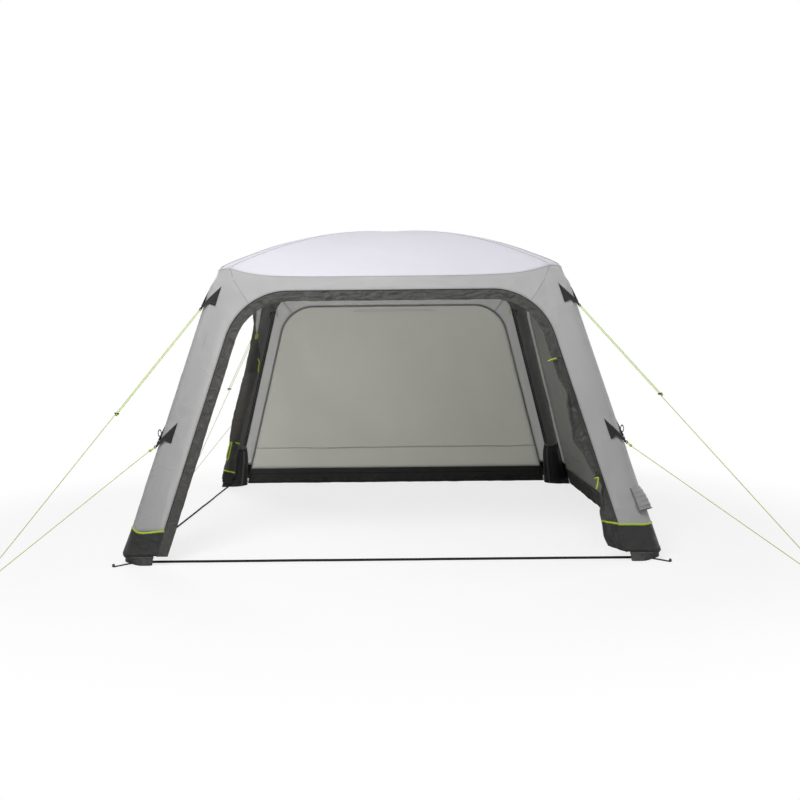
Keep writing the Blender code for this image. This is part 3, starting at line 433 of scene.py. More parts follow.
def outer_of(kind, share, arch):
    """Point of the facade's outer boundary that belongs to an arch station: x and z."""
    if kind == "leg" or (kind == "arc" and share <= 0.5):
        z = crease_height(share) if kind == "leg" else crease_height(1.0, 2 * share)
        return crease_x(z), z
    flat_share = arch.flat_x / crease_x(SEAM_CORNER)
    along = 1 + (flat_share - 1) * (2 * share - 1) if kind == "arc" else flat_share * (1 - share)
    return seam_x(along), seam_height(along)


def side_arch(side):
    """The opening's arch on that side."""
    return Arch(*(WALL_ARCH if side in CLOSED_SIDES else OPEN_ARCH))


# Making pieces.


def mesh_area(bm):
    """Area of all its faces."""
    return sum(face.calc_area() for face in bm.faces)


def lay_grid(columns, rows, place, size=None):
    """A grid laid out by a function of its two shares; size gives it a map in metres."""
    bm = bmesh.new()
    bmesh.ops.create_grid(bm, x_segments=columns, y_segments=rows, size=0.5)
    shares = {vert: (vert.co.x + 0.5, vert.co.y + 0.5) for vert in bm.verts}
    if size:
        layer = bm.loops.layers.uv.new("cloth")
        for face in bm.faces:
            for loop in face.loops:
                u, v = shares[loop.vert]
                loop[layer].uv = (u * size[0], v * size[1])
    for vert, (u, v) in shares.items():
        vert.co = place(u, v)
    return bm


def map_cloth(bm):
    """A map in metres, seen along each face's main direction."""
    layer = bm.loops.layers.uv.new("cloth")
    for face in bm.faces:
        n = face.normal
        widest = max(range(3), key=lambda i: abs(n[i]))
        for loop in face.loops:
            p = loop.vert.co
            loop[layer].uv = ((p.y, p.z), (p.x, p.z), (p.x, p.y))[widest]


def face_towards(bm, direction):
    """Turns the faces over if they point away from the direction."""
    bm.normal_update()
    if sum(face.normal.dot(direction) * face.calc_area() for face in bm.faces) < 0:
        bmesh.ops.reverse_faces(bm, faces=bm.faces)


def face_off_axis(bm, spot):
    """Turns a tube's faces over if those nearest to a point on its axis point towards it."""
    near = sorted(bm.faces, key=lambda face: (face.calc_center_median() - spot).length)[:20]
    if sum(face.normal.dot(face.calc_center_median() - spot) for face in near) < 0:
        bmesh.ops.reverse_faces(bm, faces=bm.faces)


def face_away(bm, centre):
    """Turns the faces over if they point towards the centre."""
    bm.normal_update()
    if sum(f.normal.dot(f.calc_center_median() - centre) * f.calc_area() for f in bm.faces) < 0:
        bmesh.ops.reverse_faces(bm, faces=bm.faces)


def join_meshes(parts):
    """Several meshes as one."""
    whole = bmesh.new()
    for part in parts:
        mesh = bpy.data.meshes.new("part")
        part.to_mesh(mesh)
        part.free()
        whole.from_mesh(mesh)
        bpy.data.meshes.remove(mesh)
    return whole


def add_piece(name, bm, material, body="shelter", wall=0.0, turn=0, replaced=()):
    """The finished mesh as a piece on a body, turned by so many quarter turns about Z."""
    if not bm.loops.layers.uv:
        bm.normal_update()
        map_cloth(bm)
    if turn:
        bmesh.ops.rotate(bm, cent=(0, 0, 0), matrix=quarters(turn), verts=bm.verts)
    mesh = bpy.data.meshes.new(name)
    bm.to_mesh(mesh)
    bm.free()
    mesh.materials.append(material)
    mesh.shade_smooth()
    mesh.set_sharp_from_angle(angle=math.radians(50))
    piece = bpy.data.objects.new(name, mesh)
    bpy.context.scene.collection.objects.link(piece)
    if wall:
        solid = piece.modifiers.new("wall", "SOLIDIFY")
        solid.thickness = wall
        solid.offset = -1
        solid.use_even_offset = False
    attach(piece, body)
    if replaced:
        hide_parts(*replaced)
    return piece


def rounded_box(size, centre, axes, bevel, segments=2):
    """A box with rounded edges, set along the given axes."""
    bm = bmesh.new()
    made = bmesh.ops.create_cube(bm, size=1.0)["verts"]
    bmesh.ops.scale(bm, vec=size, verts=made)
    bmesh.ops.bevel(bm, geom=list(bm.edges), offset=bevel, offset_type="OFFSET", segments=segments,
                    profile=0.5, affect="EDGES", material=-1)
    turned = Matrix(axes).transposed().to_4x4()
    bmesh.ops.transform(bm, matrix=Matrix.Translation(centre) @ turned, verts=bm.verts)
    return bm


def ring_mesh(radius, tube, centre, axis, stretch=(1, 1), steps=28, sides=10):
    """A ring: a small circle spun about the axis, longer one way if asked."""
    bm = bmesh.new()
    circle = bmesh.ops.create_circle(bm, cap_ends=False, segments=sides, radius=tube)["verts"]
    bmesh.ops.rotate(bm, cent=(0, 0, 0), matrix=Matrix.Rotation(math.pi / 2, 3, "X"), verts=circle)
    bmesh.ops.translate(bm, vec=(radius, 0, 0), verts=circle)
    bmesh.ops.spin(bm, geom=list(bm.verts) + list(bm.edges), cent=(0, 0, 0), axis=(0, 0, 1),
                   angle=2 * math.pi, steps=steps, use_merge=True)
    bmesh.ops.remove_doubles(bm, verts=bm.verts, dist=tube / 50)
    bmesh.ops.scale(bm, vec=(*stretch, 1), verts=bm.verts)
    bmesh.ops.recalc_face_normals(bm, faces=bm.faces)
    turned = axis.to_track_quat("Z", "Y").to_matrix().to_4x4()
    bmesh.ops.transform(bm, matrix=Matrix.Translation(centre) @ turned, verts=bm.verts)
    return bm


def smooth_line(points, steps):
    """Points close together on a smooth curve through the given ones."""
    found = []
    for i in range(len(points) - 1):
        before = points[max(i - 1, 0)]
        a = points[i]
        b = points[i + 1]
        after = points[min(i + 2, len(points) - 1)]
        for k in range(steps):
            t = k / steps
            found.append(0.5 * (a * 2 + (b - before) * t + (before * 2 - a * 5 + b * 4 - after) * t**2
                                + (a * 3 - before - b * 3 + after) * t**3))
    return found + [points[-1]]


def line_length(points):
    """Length of a line of straight pieces."""
    return sum((b - a).length for a, b in zip(points, points[1:]))


def tube_mesh(points, radius, sides, closed=True):
    """A tube along points, its rings square to the line."""
    count = len(points) - 1
    tangents = []
    for i in range(count + 1):
        tangents.append((points[min(i + 1, count)] - points[max(i - 1, 0)]).normalized())
    reference = tangents[0].orthogonal().normalized()
    frames = []
    for tangent in tangents:
        reference = (reference - tangent * reference.dot(tangent)).normalized()
        frames.append((reference, tangent.cross(reference)))

    def place(u, v):
        i = round(v * count)
        angle = 2 * math.pi * u
        first, second = frames[i]
        return points[i] + (first * math.cos(angle) + second * math.sin(angle)) * radius

    bm = lay_grid(sides, count, place, (2 * math.pi * radius, line_length(points)))
    bmesh.ops.remove_doubles(bm, verts=bm.verts, dist=radius / 100)
    if closed:
        bmesh.ops.holes_fill(bm, edges=[edge for edge in bm.edges if edge.is_boundary])
    bmesh.ops.recalc_face_normals(bm, faces=bm.faces)
    return bm


def ribbon(points, outs, tape, rows=4):
    """A tape along points, standing off the surface; outs are the surface's normals."""
    width, crown = TAPES[tape]
    count = len(points) - 1

    def place(u, v):
        i = round(v * count)
        along = (points[min(i + 1, count)] - points[max(i - 1, 0)]).normalized()
        side = along.cross(outs[i]).normalized()
        share = 2 * u - 1
        return points[i] + side * (share * width / 2) + outs[i] * (crown * (1 - share**4))

    bm = lay_grid(rows, count, place, (width, line_length(points)))
    face_towards(bm, outs[count // 2])
    return bm


def on_both_faces(line, tape, clear=0.0):
    """The same tape on the outer and the inner face of cloth that faces the front."""
    tapes = []
    for facing, proud in ((1, clear), (-1, -CLOTH - clear)):
        points = [spot + FACE_OUT * proud for spot in line]
        tapes.append(ribbon(points, [FACE_OUT * facing] * len(points), tape))
    return tapes


# Finishes and the shader groups that they share.


def feed(tree, socket, value):
    """Gives a socket a number, a colour or the output of another node."""
    if isinstance(value, bpy.types.NodeSocket):
        tree.links.new(value, socket)
    else:
        socket.default_value = (*value, 1.0) if isinstance(value, tuple) else value


def node(tree, kind, given=None, **settings):
    """One shader node with its settings and what its sockets are given."""
    made = tree.nodes.new(kind)
    for key, value in settings.items():
        setattr(made, key, value)
    for key, value in (given or {}).items():
        feed(tree, made.inputs[key], value)
    return made


def new_group(name, inputs, outputs):
    """A shader group, what it is given and what it results in."""
    group = bpy.data.node_groups.new(name, "ShaderNodeTree")
    for label, kind, value in inputs:
        socket = group.interface.new_socket(label, in_out="INPUT", socket_type=kind)
        if value is not None:
            socket.default_value = value
    for label, kind in outputs:
        group.interface.new_socket(label, in_out="OUTPUT", socket_type=kind)
    given = group.nodes.new("NodeGroupInput").outputs
    return group, given, group.nodes.new("NodeGroupOutput").inputs


def math_node(tree, operation, *values):
    """The output of a Math node whose inputs are numbers or sockets."""
    return node(tree, "ShaderNodeMath", dict(enumerate(values)), operation=operation).outputs[0]


def ranged(tree, value, low, high, start=0.0, end=1.0, **settings):
    """A value whose range from low to high is mapped from start to end."""
    given = {"Value": value, "From Min": low, "From Max": high, "To Min": start, "To Max": end}
    return node(tree, "ShaderNodeMapRange", given, **settings).outputs["Result"]


def split(tree, place):
    """The X, Y and Z of a place."""
    return node(tree, "ShaderNodeSeparateXYZ", {"Vector": place}).outputs


def mixed_colour(tree, share, first, second):
    """Goes from one colour to another by a share; each is a plain colour or a socket."""
    given = {"Factor": share, 6: first, 7: second}
    return node(tree, "ShaderNodeMix", given, data_type="RGBA").outputs[2]


def make_weave_group():
    """Plain weave: a height that goes over and under, so many threads to the metre."""
    group, given, result = new_group(
        "plain_weave",
        [("Vector", "NodeSocketVector", None), ("Threads", "NodeSocketFloat", 900.0)],
        [("Height", "NodeSocketFloat")])
    parts = split(group, given["Vector"])
    rate = math_node(group, "MULTIPLY", given["Threads"], math.pi)
    warp = math_node(group, "SINE", math_node(group, "MULTIPLY", parts["X"], rate))
    weft = math_node(group, "SINE", math_node(group, "MULTIPLY", parts["Y"], rate))
    both = math_node(group, "MULTIPLY", warp, weft)
    feed(group, result["Height"], math_node(group, "MULTIPLY_ADD", both, 0.5, 0.5))
    return group


def make_crease_group():
    """Sharp little creases in soft cloth, from folded noise."""
    group, given, result = new_group(
        "cloth_creases",
        [("Vector", "NodeSocketVector", None), ("Scale", "NodeSocketFloat", 9.0),
         ("Sharpness", "NodeSocketFloat", 2.0)],
        [("Height", "NodeSocketFloat")])
    grain = node(group, "ShaderNodeTexNoise", {"Vector": given["Vector"], "Scale": given["Scale"],
                                               "Detail": 4.0, "Roughness": 0.5, "Distortion": 0.6})
    away = math_node(group, "ABSOLUTE", math_node(group, "SUBTRACT", grain.outputs["Fac"], 0.5))
    ridge = math_node(group, "SUBTRACT", 1.0, math_node(group, "MULTIPLY", away, 2.0))
    feed(group, result["Height"], math_node(group, "POWER", ridge, given["Sharpness"]))
    return group


def make_mottle_group():
    """Soft uneven shade of dyed cloth."""
    group, given, result = new_group(
        "uneven_shade",
        [("Vector", "NodeSocketVector", None), ("Color", "NodeSocketColor", None),
         ("Scale", "NodeSocketFloat", 3.0), ("Amount", "NodeSocketFloat", 0.06)],
        [("Color", "NodeSocketColor"), ("Fac", "NodeSocketFloat")])
    grain = node(group, "ShaderNodeTexNoise", {"Vector": given["Vector"], "Scale": given["Scale"],
                                               "Detail": 5.0, "Roughness": 0.6})
    low = math_node(group, "SUBTRACT", 1.0, given["Amount"])
    high = math_node(group, "ADD", 1.0, given["Amount"])
    shade = ranged(group, grain.outputs["Fac"], 0.3, 0.7, low, high)
    scaled = node(group, "ShaderNodeVectorMath", {0: given["Color"], "Scale": shade}, operation="SCALE")
    feed(group, result["Color"], scaled.outputs["Vector"])
    feed(group, result["Fac"], grain.outputs["Fac"])
    return group


def make_dust_group():
    """Dry dust that gathers near the ground."""
    group, given, result = new_group(
        "ground_dust",
        [("Vector", "NodeSocketVector", None), ("Color", "NodeSocketColor", None),
         ("Dust", "NodeSocketColor", (0.30, 0.27, 0.23, 1.0)), ("Height", "NodeSocketFloat", 0.15),
         ("Amount", "NodeSocketFloat", 0.3)],
        [("Color", "NodeSocketColor")])
    grain = node(group, "ShaderNodeTexNoise", {"Vector": given["Vector"], "Scale": 22.0, "Detail": 6.0,
                                               "Roughness": 0.65})
    fall = math_node(group, "DIVIDE", split(group, given["Vector"])["Z"], given["Height"])
    near = ranged(group, fall, 0.0, 1.0, 1.0, 0.0)
    mask = math_node(group, "MULTIPLY", near, ranged(group, grain.outputs["Fac"], 0.4, 0.65))
    share = math_node(group, "MULTIPLY", mask, given["Amount"])
    feed(group, result["Color"], mixed_colour(group, share, given["Color"], given["Dust"]))
    return group


def make_stitch_group():
    """Two rows of thread dashes along a tape: a mask for colour and height."""
    group, given, result = new_group(
        "stitch_rows",
        [("Vector", "NodeSocketVector", None), ("Width", "NodeSocketFloat", 0.01),
         ("Inset", "NodeSocketFloat", 0.002), ("Pitch", "NodeSocketFloat", 0.004)],
        [("Mask", "NodeSocketFloat")])
    parts = split(group, given["Vector"])
    half = math_node(group, "MULTIPLY", given["Width"], 0.5)
    from_middle = math_node(group, "ABSOLUTE", math_node(group, "SUBTRACT", parts["X"], half))
    row = math_node(group, "SUBTRACT", half, given["Inset"])
    from_row = math_node(group, "ABSOLUTE", math_node(group, "SUBTRACT", from_middle, row))
    on_row = math_node(group, "LESS_THAN", from_row, 0.0005)
    phase = math_node(group, "FRACT", math_node(group, "DIVIDE", parts["Y"], given["Pitch"]))
    on_dash = math_node(group, "LESS_THAN", phase, 0.68)
    feed(group, result["Mask"], math_node(group, "MULTIPLY", on_row, on_dash))
    return group


WEAVE = make_weave_group()
CREASES = make_crease_group()
MOTTLE = make_mottle_group()
DUST = make_dust_group()
STITCHES = make_stitch_group()


def placed_group(tree, group, given):
    """The outputs of a shader group placed in a material."""
    return node(tree, "ShaderNodeGroup", given, node_tree=group).outputs


def dyed(tree, spot, colour, scale, amount):
    """A colour whose shade is a little uneven."""
    given = {"Vector": spot["Object"], "Color": colour, "Scale": scale, "Amount": amount}
    return placed_group(tree, MOTTLE, given)


def fine_grain(tree, spot, scale):
    """Fine even noise over the surface."""
    given = {"Vector": spot["Object"], "Scale": scale, "Detail": 2.0}
    return node(tree, "ShaderNodeTexNoise", given).outputs["Fac"]


def start_material(name, roughness, sheen=0.0, metallic=0.0, specular=0.5):
    """A material with its shader, its coordinates and its plain values."""
    made = bpy.data.materials.new(name)
    made.use_nodes = True
    tree = made.node_tree
    shader = tree.nodes["Principled BSDF"]
    plain = {"Roughness": roughness, "Metallic": metallic, "Specular IOR Level": specular,
             "Sheen Weight": sheen, "Sheen Roughness": 0.5}
    for key, value in plain.items():
        feed(tree, shader.inputs[key], value)
    return made, tree, shader, tree.nodes.new("ShaderNodeTexCoord").outputs


def give_normal(tree, shader, height, depth):
    """A Bump node whose height is in shares of the depth."""
    bump = node(tree, "ShaderNodeBump", {"Strength": 1.0, "Distance": depth, "Height": height})
    feed(tree, shader.inputs["Normal"], bump.outputs["Normal"])


def give_roughness(tree, shader, source, low, high):
    """Roughness that changes softly over the surface."""
    feed(tree, shader.inputs["Roughness"], ranged(tree, source, 0.3, 0.7, low, high))


def joined_shaders(tree, kind, *parts):
    """The output of an Add or Mix shader node over its parts; a Mix takes its share first."""
    return node(tree, kind, dict(enumerate(parts))).outputs[0]


def let_through(tree, shader, colour):
    """Adds the light that shines through thin cloth."""
    thin = node(tree, "ShaderNodeBsdfTranslucent", {"Color": colour}).outputs[0]
    both = joined_shaders(tree, "ShaderNodeAddShader", shader.outputs[0], thin)
    feed(tree, tree.nodes["Material Output"].inputs["Surface"], both)


def cloth(name, colour, roughness, threads, weave_depth, crease_scale, crease_depth,
          mottle=0.05, sheen=0.15, dust=0.0, dust_height=0.15, specular=0.3, through=None):
    """Coated woven cloth: weave, creases, uneven dye and dust near the ground."""
    made, tree, shader, spot = start_material(name, roughness, sheen, specular=specular)
    shade = dyed(tree, spot, colour, 2.2, mottle)
    out = shade["Color"]
    if dust:
        given = {"Vector": spot["Object"], "Color": out, "Height": dust_height, "Amount": dust}
        out = placed_group(tree, DUST, given)["Color"]
    feed(tree, shader.inputs["Base Color"], out)
    weave = placed_group(tree, WEAVE, {"Vector": spot["UV"], "Threads": threads})
    given = {"Vector": spot["Object"], "Scale": crease_scale, "Sharpness": 3.0}
    crease = placed_group(tree, CREASES, given)
    small = math_node(tree, "MULTIPLY", weave["Height"], weave_depth / crease_depth)
    give_normal(tree, shader, math_node(tree, "ADD", small, crease["Height"]), crease_depth)
    give_roughness(tree, shader, shade["Fac"], roughness - 0.06, roughness + 0.06)
    if through:
        let_through(tree, shader, through)
    return made


def stitched(name, colour, thread, width, inset, roughness=0.7, ribs=500.0, through=None):
    """Tape or a folded seam with two rows of stitches."""
    made, tree, shader, spot = start_material(name, roughness, 0.1, specular=0.3)
    rows = placed_group(tree, STITCHES, {"Vector": spot["UV"], "Width": width, "Inset": inset})["Mask"]
    shade = dyed(tree, spot, colour, 6.0, 0.08)
    feed(tree, shader.inputs["Base Color"], mixed_colour(tree, rows, shade["Color"], thread))
    weave = placed_group(tree, WEAVE, {"Vector": spot["UV"], "Threads": ribs})
    give_normal(tree, shader, math_node(tree, "MULTIPLY_ADD", weave["Height"], 0.35, rows), 0.0004)
    give_roughness(tree, shader, shade["Fac"], roughness - 0.05, roughness + 0.05)
    if through:
        let_through(tree, shader, through)
    return made


def zipped(name, tape, teeth, width):
    """Zip tape with a row of coil teeth down its middle."""
    made, tree, shader, spot = start_material(name, 0.5, specular=0.4)
    parts = split(tree, spot["UV"])
    away = math_node(tree, "ABSOLUTE", math_node(tree, "SUBTRACT", parts["X"], width / 2))
    coil = math_node(tree, "LESS_THAN", away, width / 5)
    wave = math_node(tree, "SINE", math_node(tree, "MULTIPLY", parts["Y"], 2 * math.pi * 600))
    tooth = math_node(tree, "MULTIPLY", coil, math_node(tree, "MULTIPLY_ADD", wave, 0.5, 0.5))
    shade = dyed(tree, spot, tape, 8.0, 0.08)
    feed(tree, shader.inputs["Base Color"], mixed_colour(tree, tooth, shade["Color"], teeth))
    give_normal(tree, shader, tooth, 0.0008)
    give_roughness(tree, shader, shade["Fac"], 0.42, 0.55)
    return made


def braided(name, colour, fleck):
    """Braided cord: strands that wind both ways, with flecks of a second yarn."""
    made, tree, shader, spot = start_material(name, 0.6, 0.25, specular=0.35)
    parts = split(tree, spot["UV"])
    round_it = math_node(tree, "MULTIPLY", parts["X"], 2 * math.pi * 4)
    along = math_node(tree, "MULTIPLY", parts["Y"], 2 * math.pi * 160)
    one = math_node(tree, "SINE", math_node(tree, "ADD", round_it, along))
    other = math_node(tree, "SINE", math_node(tree, "SUBTRACT", round_it, along))
    strands = math_node(tree, "MAXIMUM", one, other)
    grain = fine_grain(tree, spot, 260.0)
    flecks = math_node(tree, "MULTIPLY", math_node(tree, "GREATER_THAN", grain, 0.66), 0.55)
    feed(tree, shader.inputs["Base Color"], mixed_colour(tree, flecks, colour, fleck))
    give_normal(tree, shader, math_node(tree, "MULTIPLY_ADD", strands, 0.5, 0.5), 0.0003)
    give_roughness(tree, shader, grain, 0.5, 0.7)
    return made


def moulded(name, colour, roughness, metallic=0.0, grain_depth=0.00008, wear=None):
    """Moulded plastic or coated metal: fine grain, uneven gloss and paler worn patches."""
    made, tree, shader, spot = start_material(name, roughness, metallic=metallic)
    shade = dyed(tree, spot, colour, 30.0, 0.07)
    out = shade["Color"]
    if wear:
        out = mixed_colour(tree, ranged(tree, shade["Fac"], 0.60, 0.72, 0.0, 0.5), out, wear)
    feed(tree, shader.inputs["Base Color"], out)
    give_normal(tree, shader, fine_grain(tree, spot, 1400.0), grain_depth)
    give_roughness(tree, shader, shade["Fac"], roughness - 0.07, roughness + 0.07)
    return made


ROOF_CLOTH = cloth("roof_cloth", (0.605, 0.597, 0.640), 0.60, 800, 0.00012, 3.2, 0.0034, mottle=0.02,
                   through=(0.36, 0.36, 0.37))
FACADE_CLOTH = cloth("facade_cloth", (0.368, 0.366, 0.375), 0.62, 800, 0.00012, 5.0, 0.0042, mottle=0.03,
                     through=(0.475, 0.475, 0.460))
HOOD_CLOTH = cloth("hood_cloth", (0.38, 0.38, 0.387), 0.62, 800, 0.00012, 8.0, 0.0030, mottle=0.06)
TRIM_CLOTH = cloth("trim_cloth", (0.060, 0.060, 0.060), 0.50, 700, 0.00015, 16.0, 0.0080, mottle=0.15,
                   sheen=0.25, through=(0.18, 0.172, 0.15))
WALL_CLOTH = cloth("wall_cloth", (0.39, 0.392, 0.372), 0.66, 900, 0.00010, 3.0, 0.0030, mottle=0.03,
                   through=(0.49, 0.49, 0.465))
# Painted shade: the wall cloth again in the same colour, but letting less light through, so that the right
# wall reads darker from inside.
SHADED_SIDE_WALL_CLOTH = cloth("shaded_side_wall_cloth", (0.39, 0.392, 0.372), 0.66, 900, 0.00010, 3.0, 0.0030,
                        mottle=0.03, through=(0.19, 0.19, 0.18))
SKIRT_CLOTH = cloth("skirt_cloth", (0.085, 0.085, 0.083), 0.50, 500, 0.00020, 8.0, 0.0030, mottle=0.1,
                    dust=0.25, dust_height=0.10)
BOOT_CLOTH = cloth("boot_cloth", (0.038, 0.038, 0.038), 0.50, 450, 0.00025, 9.0, 0.0035, mottle=0.1,
                   dust=0.20, dust_height=0.12)
BASE_CLOTH = cloth("base_cloth", (0.064, 0.065, 0.065), 0.55, 450, 0.00025, 12.0, 0.0030, mottle=0.12,
                   dust=0.30, dust_height=0.06)
SLEEVE_CLOTH = cloth("sleeve_cloth", (0.26, 0.26, 0.256), 0.62, 600, 0.00020, 10.0, 0.0025, mottle=0.1)
FACADE_SEAM = stitched("facade_seam", (0.33, 0.328, 0.337), (0.27, 0.27, 0.28), 0.009, 0.002,
                       through=(0.40, 0.40, 0.39))
ROOF_SEAM = stitched("roof_seam", (0.64, 0.63, 0.69), (0.52, 0.51, 0.56), 0.009, 0.002)
WALL_SEAM = stitched("wall_seam", (0.30, 0.30, 0.285), (0.22, 0.22, 0.21), 0.009, 0.002,
                     through=(0.48, 0.48, 0.46))
DARK_SEAM = stitched("dark_seam", (0.050, 0.050, 0.050), (0.10, 0.10, 0.10), 0.009, 0.002)
WEBBING_TAPE = stitched("webbing_tape", (0.022, 0.022, 0.022), (0.06, 0.06, 0.06), 0.025, 0.003,
                        0.72, 420.0)
PEG_WEBBING = stitched("peg_webbing", (0.008, 0.008, 0.008), (0.02, 0.02, 0.02), 0.022, 0.003,
                       0.85, 420.0)
GREY_TAPE = stitched("grey_tape", (0.13, 0.13, 0.13), (0.20, 0.20, 0.20), 0.015, 0.002, 0.72, 420.0)
LIME_TAPE = stitched("lime_tape", (0.56, 0.78, 0.04), (0.70, 0.88, 0.20), 0.011, 0.002, 0.6, 520.0)
WALL_ZIP = zipped("wall_zip", (0.16, 0.16, 0.155), (0.24, 0.24, 0.23), 0.004)
ZIP_TAPE = zipped("zip_tape", (0.008, 0.008, 0.008), (0.030, 0.030, 0.030), 0.012)
ROPE_BRAID = braided("rope_braid", (0.58, 0.80, 0.04), (0.80, 0.90, 0.45))
BLACK_PLASTIC = moulded("black_plastic", (0.028, 0.028, 0.030), 0.40, wear=(0.09, 0.09, 0.095))
VALVE_PLASTIC = moulded("valve_plastic", (0.050, 0.050, 0.055), 0.42, wear=(0.10, 0.10, 0.105))
DARK_METAL = moulded("dark_metal", (0.10, 0.10, 0.10), 0.36, 0.85, wear=(0.30, 0.30, 0.30))
BLADDER_FILM = moulded("bladder_film", (0.55, 0.57, 0.58), 0.34, grain_depth=0.0002)


# Folds of the cloth.


def read_off(pairs, place):
    """Value at a place in a table of places and values, eased in between."""
    for (low, a), (high, b) in zip(pairs, pairs[1:]):
        if place <= high:
            return a + (b - a) * eased(max((place - low) / (high - low), 0.0))
    return pairs[-1][1]


def shouldered(spot):
    """A point of the cloth, drawn in and up near the corner where the bands meet the eaves."""
    out = Vector((math.copysign(1, spot.x), math.copysign(1, spot.y), 0)).normalized()
    tip = out * chamfer_reach(SEAM_CORNER) + upward(SEAM_CORNER)
    near = eased(max(1 - (spot - tip).length / SHOULDER_SPREAD, 0.0))
    near *= eased(clamped((spot.z - SHOULDER_FOOT) / SHOULDER_RUN))
    return spot - out * (SHOULDER_IN * near) + upward(SHOULDER_UP * near)


def shoulder_mesh(bm):
    """The mesh with all its points shouldered."""
    for vert in bm.verts:
        vert.co = shouldered(vert.co)
    return bm


def ripple(point, size, seed, stretch=1.0):
    """Soft irregular waves, from about -1 to 1, drawn out along Z by the stretch."""
    spot = Vector((point.x, point.y, point.z / stretch)) / size
    return noise.fractal(spot + Vector((seed * 3.7, seed * 1.3, seed * 5.1)), 1.0, 2.0, 3)


def pulled(x, z, folds, fading=0.55):
    """Height of straight folds at a place of a flat panel: two ends, a width and a size each."""
    total = 0.0
    for x0, z0, x1, z1, width, size in folds:
        dx = x1 - x0
        dz = z1 - z0
        along = clamped(((x - x0) * dx + (z - z0) * dz) / (dx * dx + dz * dz))
        away = math.hypot(x - x0 - dx * along, z - z0 - dz * along)
        total += size * (1 - fading * along) * math.exp(-((away / width) ** 2))
    return total


# Leg folds: distance in from the crease and height, pulled by the tie-outs, the seams and the boot.
LEG_FOLDS = (
    (0.00, 1.52, 0.125, 1.40, 0.013, 0.0050),
    (0.00, 1.58, 0.100, 1.66, 0.012, 0.0035),
    (0.01, 1.47, 0.090, 1.22, 0.014, -0.0040),
    (0.00, 0.74, 0.130, 0.86, 0.015, 0.0045),
    (0.00, 0.70, 0.120, 0.55, 0.014, 0.0050),
    (0.02, 0.66, 0.070, 0.40, 0.016, -0.0040),
    (0.09, 0.20, 0.060, 0.46, 0.014, 0.0075),
    (0.15, 0.20, 0.130, 0.60, 0.013, -0.0050),
    (0.04, 0.20, 0.025, 0.36, 0.010, -0.0050),
    (0.17, 0.95, 0.120, 1.20, 0.015, 0.0035),
)

# Lintel folds: distance from the middle and height, fanning out from the arch's corners.
LINTEL_FOLDS = (
    (0.84, 1.47, 0.99, 1.64, 0.014, 0.0050),
    (0.80, 1.52, 0.90, 1.66, 0.012, -0.0035),
    (0.70, 1.56, 0.76, 1.65, 0.012, 0.0030),
    (0.45, 1.57, 0.20, 1.63, 0.014, 0.0025),
    (0.88, 1.40, 1.00, 1.50, 0.015, -0.0040),
)


def facade_proud(x, z, seed):
    """How far the facade's cloth stands out at that place."""
    side = crease_x(z) - abs(x)
    place = Vector((x, seed, z))
    total = ripple(place, 0.16, seed, 2.6) * 0.0045 + ripple(place, 0.05, seed + 9, 1.8) * 0.0012
    if z < 1.66 and side < 0.2:
        total += pulled(side, z + 0.012 * math.sin(seed * 2 + x), LEG_FOLDS)
    if z > 1.2:
        total += pulled(abs(x), z, LINTEL_FOLDS)
    return total


LEG_ROWS = 44
ARC_ROWS = 22


def facade_mesh(arch, seed):
    """Cloth of one side from boot to boot, round the arch."""
    stations = arch.stations(SIDE_FOOT, LEG_ROWS, ARC_ROWS, 22)
    count = len(stations) - 1

    def place(u, v):
        sign, kind, share, x, z = stations[round(u * count)]
        outer_x, outer_z = outer_of(kind, share, arch)
        px = sign * (x + (outer_x - x) * v)
        pz = z + (outer_z - z) * v
        fade = faded(v, 5, 5)
        if kind == "leg":
            fade = min(1.0, v * 5) * min(1.0, 0.25 + share * 8) * min(1.0, 0.4 + (1 - v) * 3)
        return front_point(px, pz, facade_proud(px, pz, seed) * fade)

    return lay_grid(count, 18, place)


def strip_mesh(turn):
    """Rounded cloth round the beam at a corner, between the creases."""
    heights = [crease_height(i / LEG_ROWS) for i in range(LEG_ROWS)]
    heights += [crease_height(1.0, 2 * i / ARC_ROWS) for i in range(ARC_ROWS // 2 + 1)]
    count = len(heights) - 1

    def place(u, v):
        z = heights[round(v * count)]
        side = 2 * u - 1
        spot = strip_spot(z, side)
        if abs(side) < 0.999:
            wave = ripple(Vector((u * 0.12, turn * 3.0, z)), 0.10, turn + 20, 2.0)
            return spot + LEG_OUT * (max(wave, 0.0) * 0.004 * faded(v, 10, 10))
        share = (z - SIDE_FOOT) / (CREASE_TURN - SIDE_FOOT)
        edge = 0.4 * min(1.0, 0.25 + share * 8) if v * count < LEG_ROWS else 0.0
        if side > 0:
            return spot + FACE_OUT * (facade_proud(-crease_x(z), z, corner_seed(turn)) * edge)
        left_out = Vector((FACE_OUT.y, 0, FACE_OUT.z))
        return spot + left_out * (facade_proud(crease_x(z), z, corner_seed(turn - 1)) * edge)

    return lay_grid(16, count, place)


def corner_seed(turn):
    """Seed of the ripples on the side of that turn."""
    return turn % 4 + 1


def band_size(arch):
    """Widest width and middle length of a side's cloth, which is cut as a band round the arch."""
    middles = []
    widths = []
    for sign, kind, share, x, z in arch.stations(SIDE_FOOT, 20, 16, 16):
        outer_x, outer_z = outer_of(kind, share, arch)
        middles.append(Vector((sign * (x + outer_x) / 2, 0, (z + outer_z) / 2)))
        widths.append(Vector((outer_x - x, outer_z - z)).length)
    return max(widths), line_length(middles)


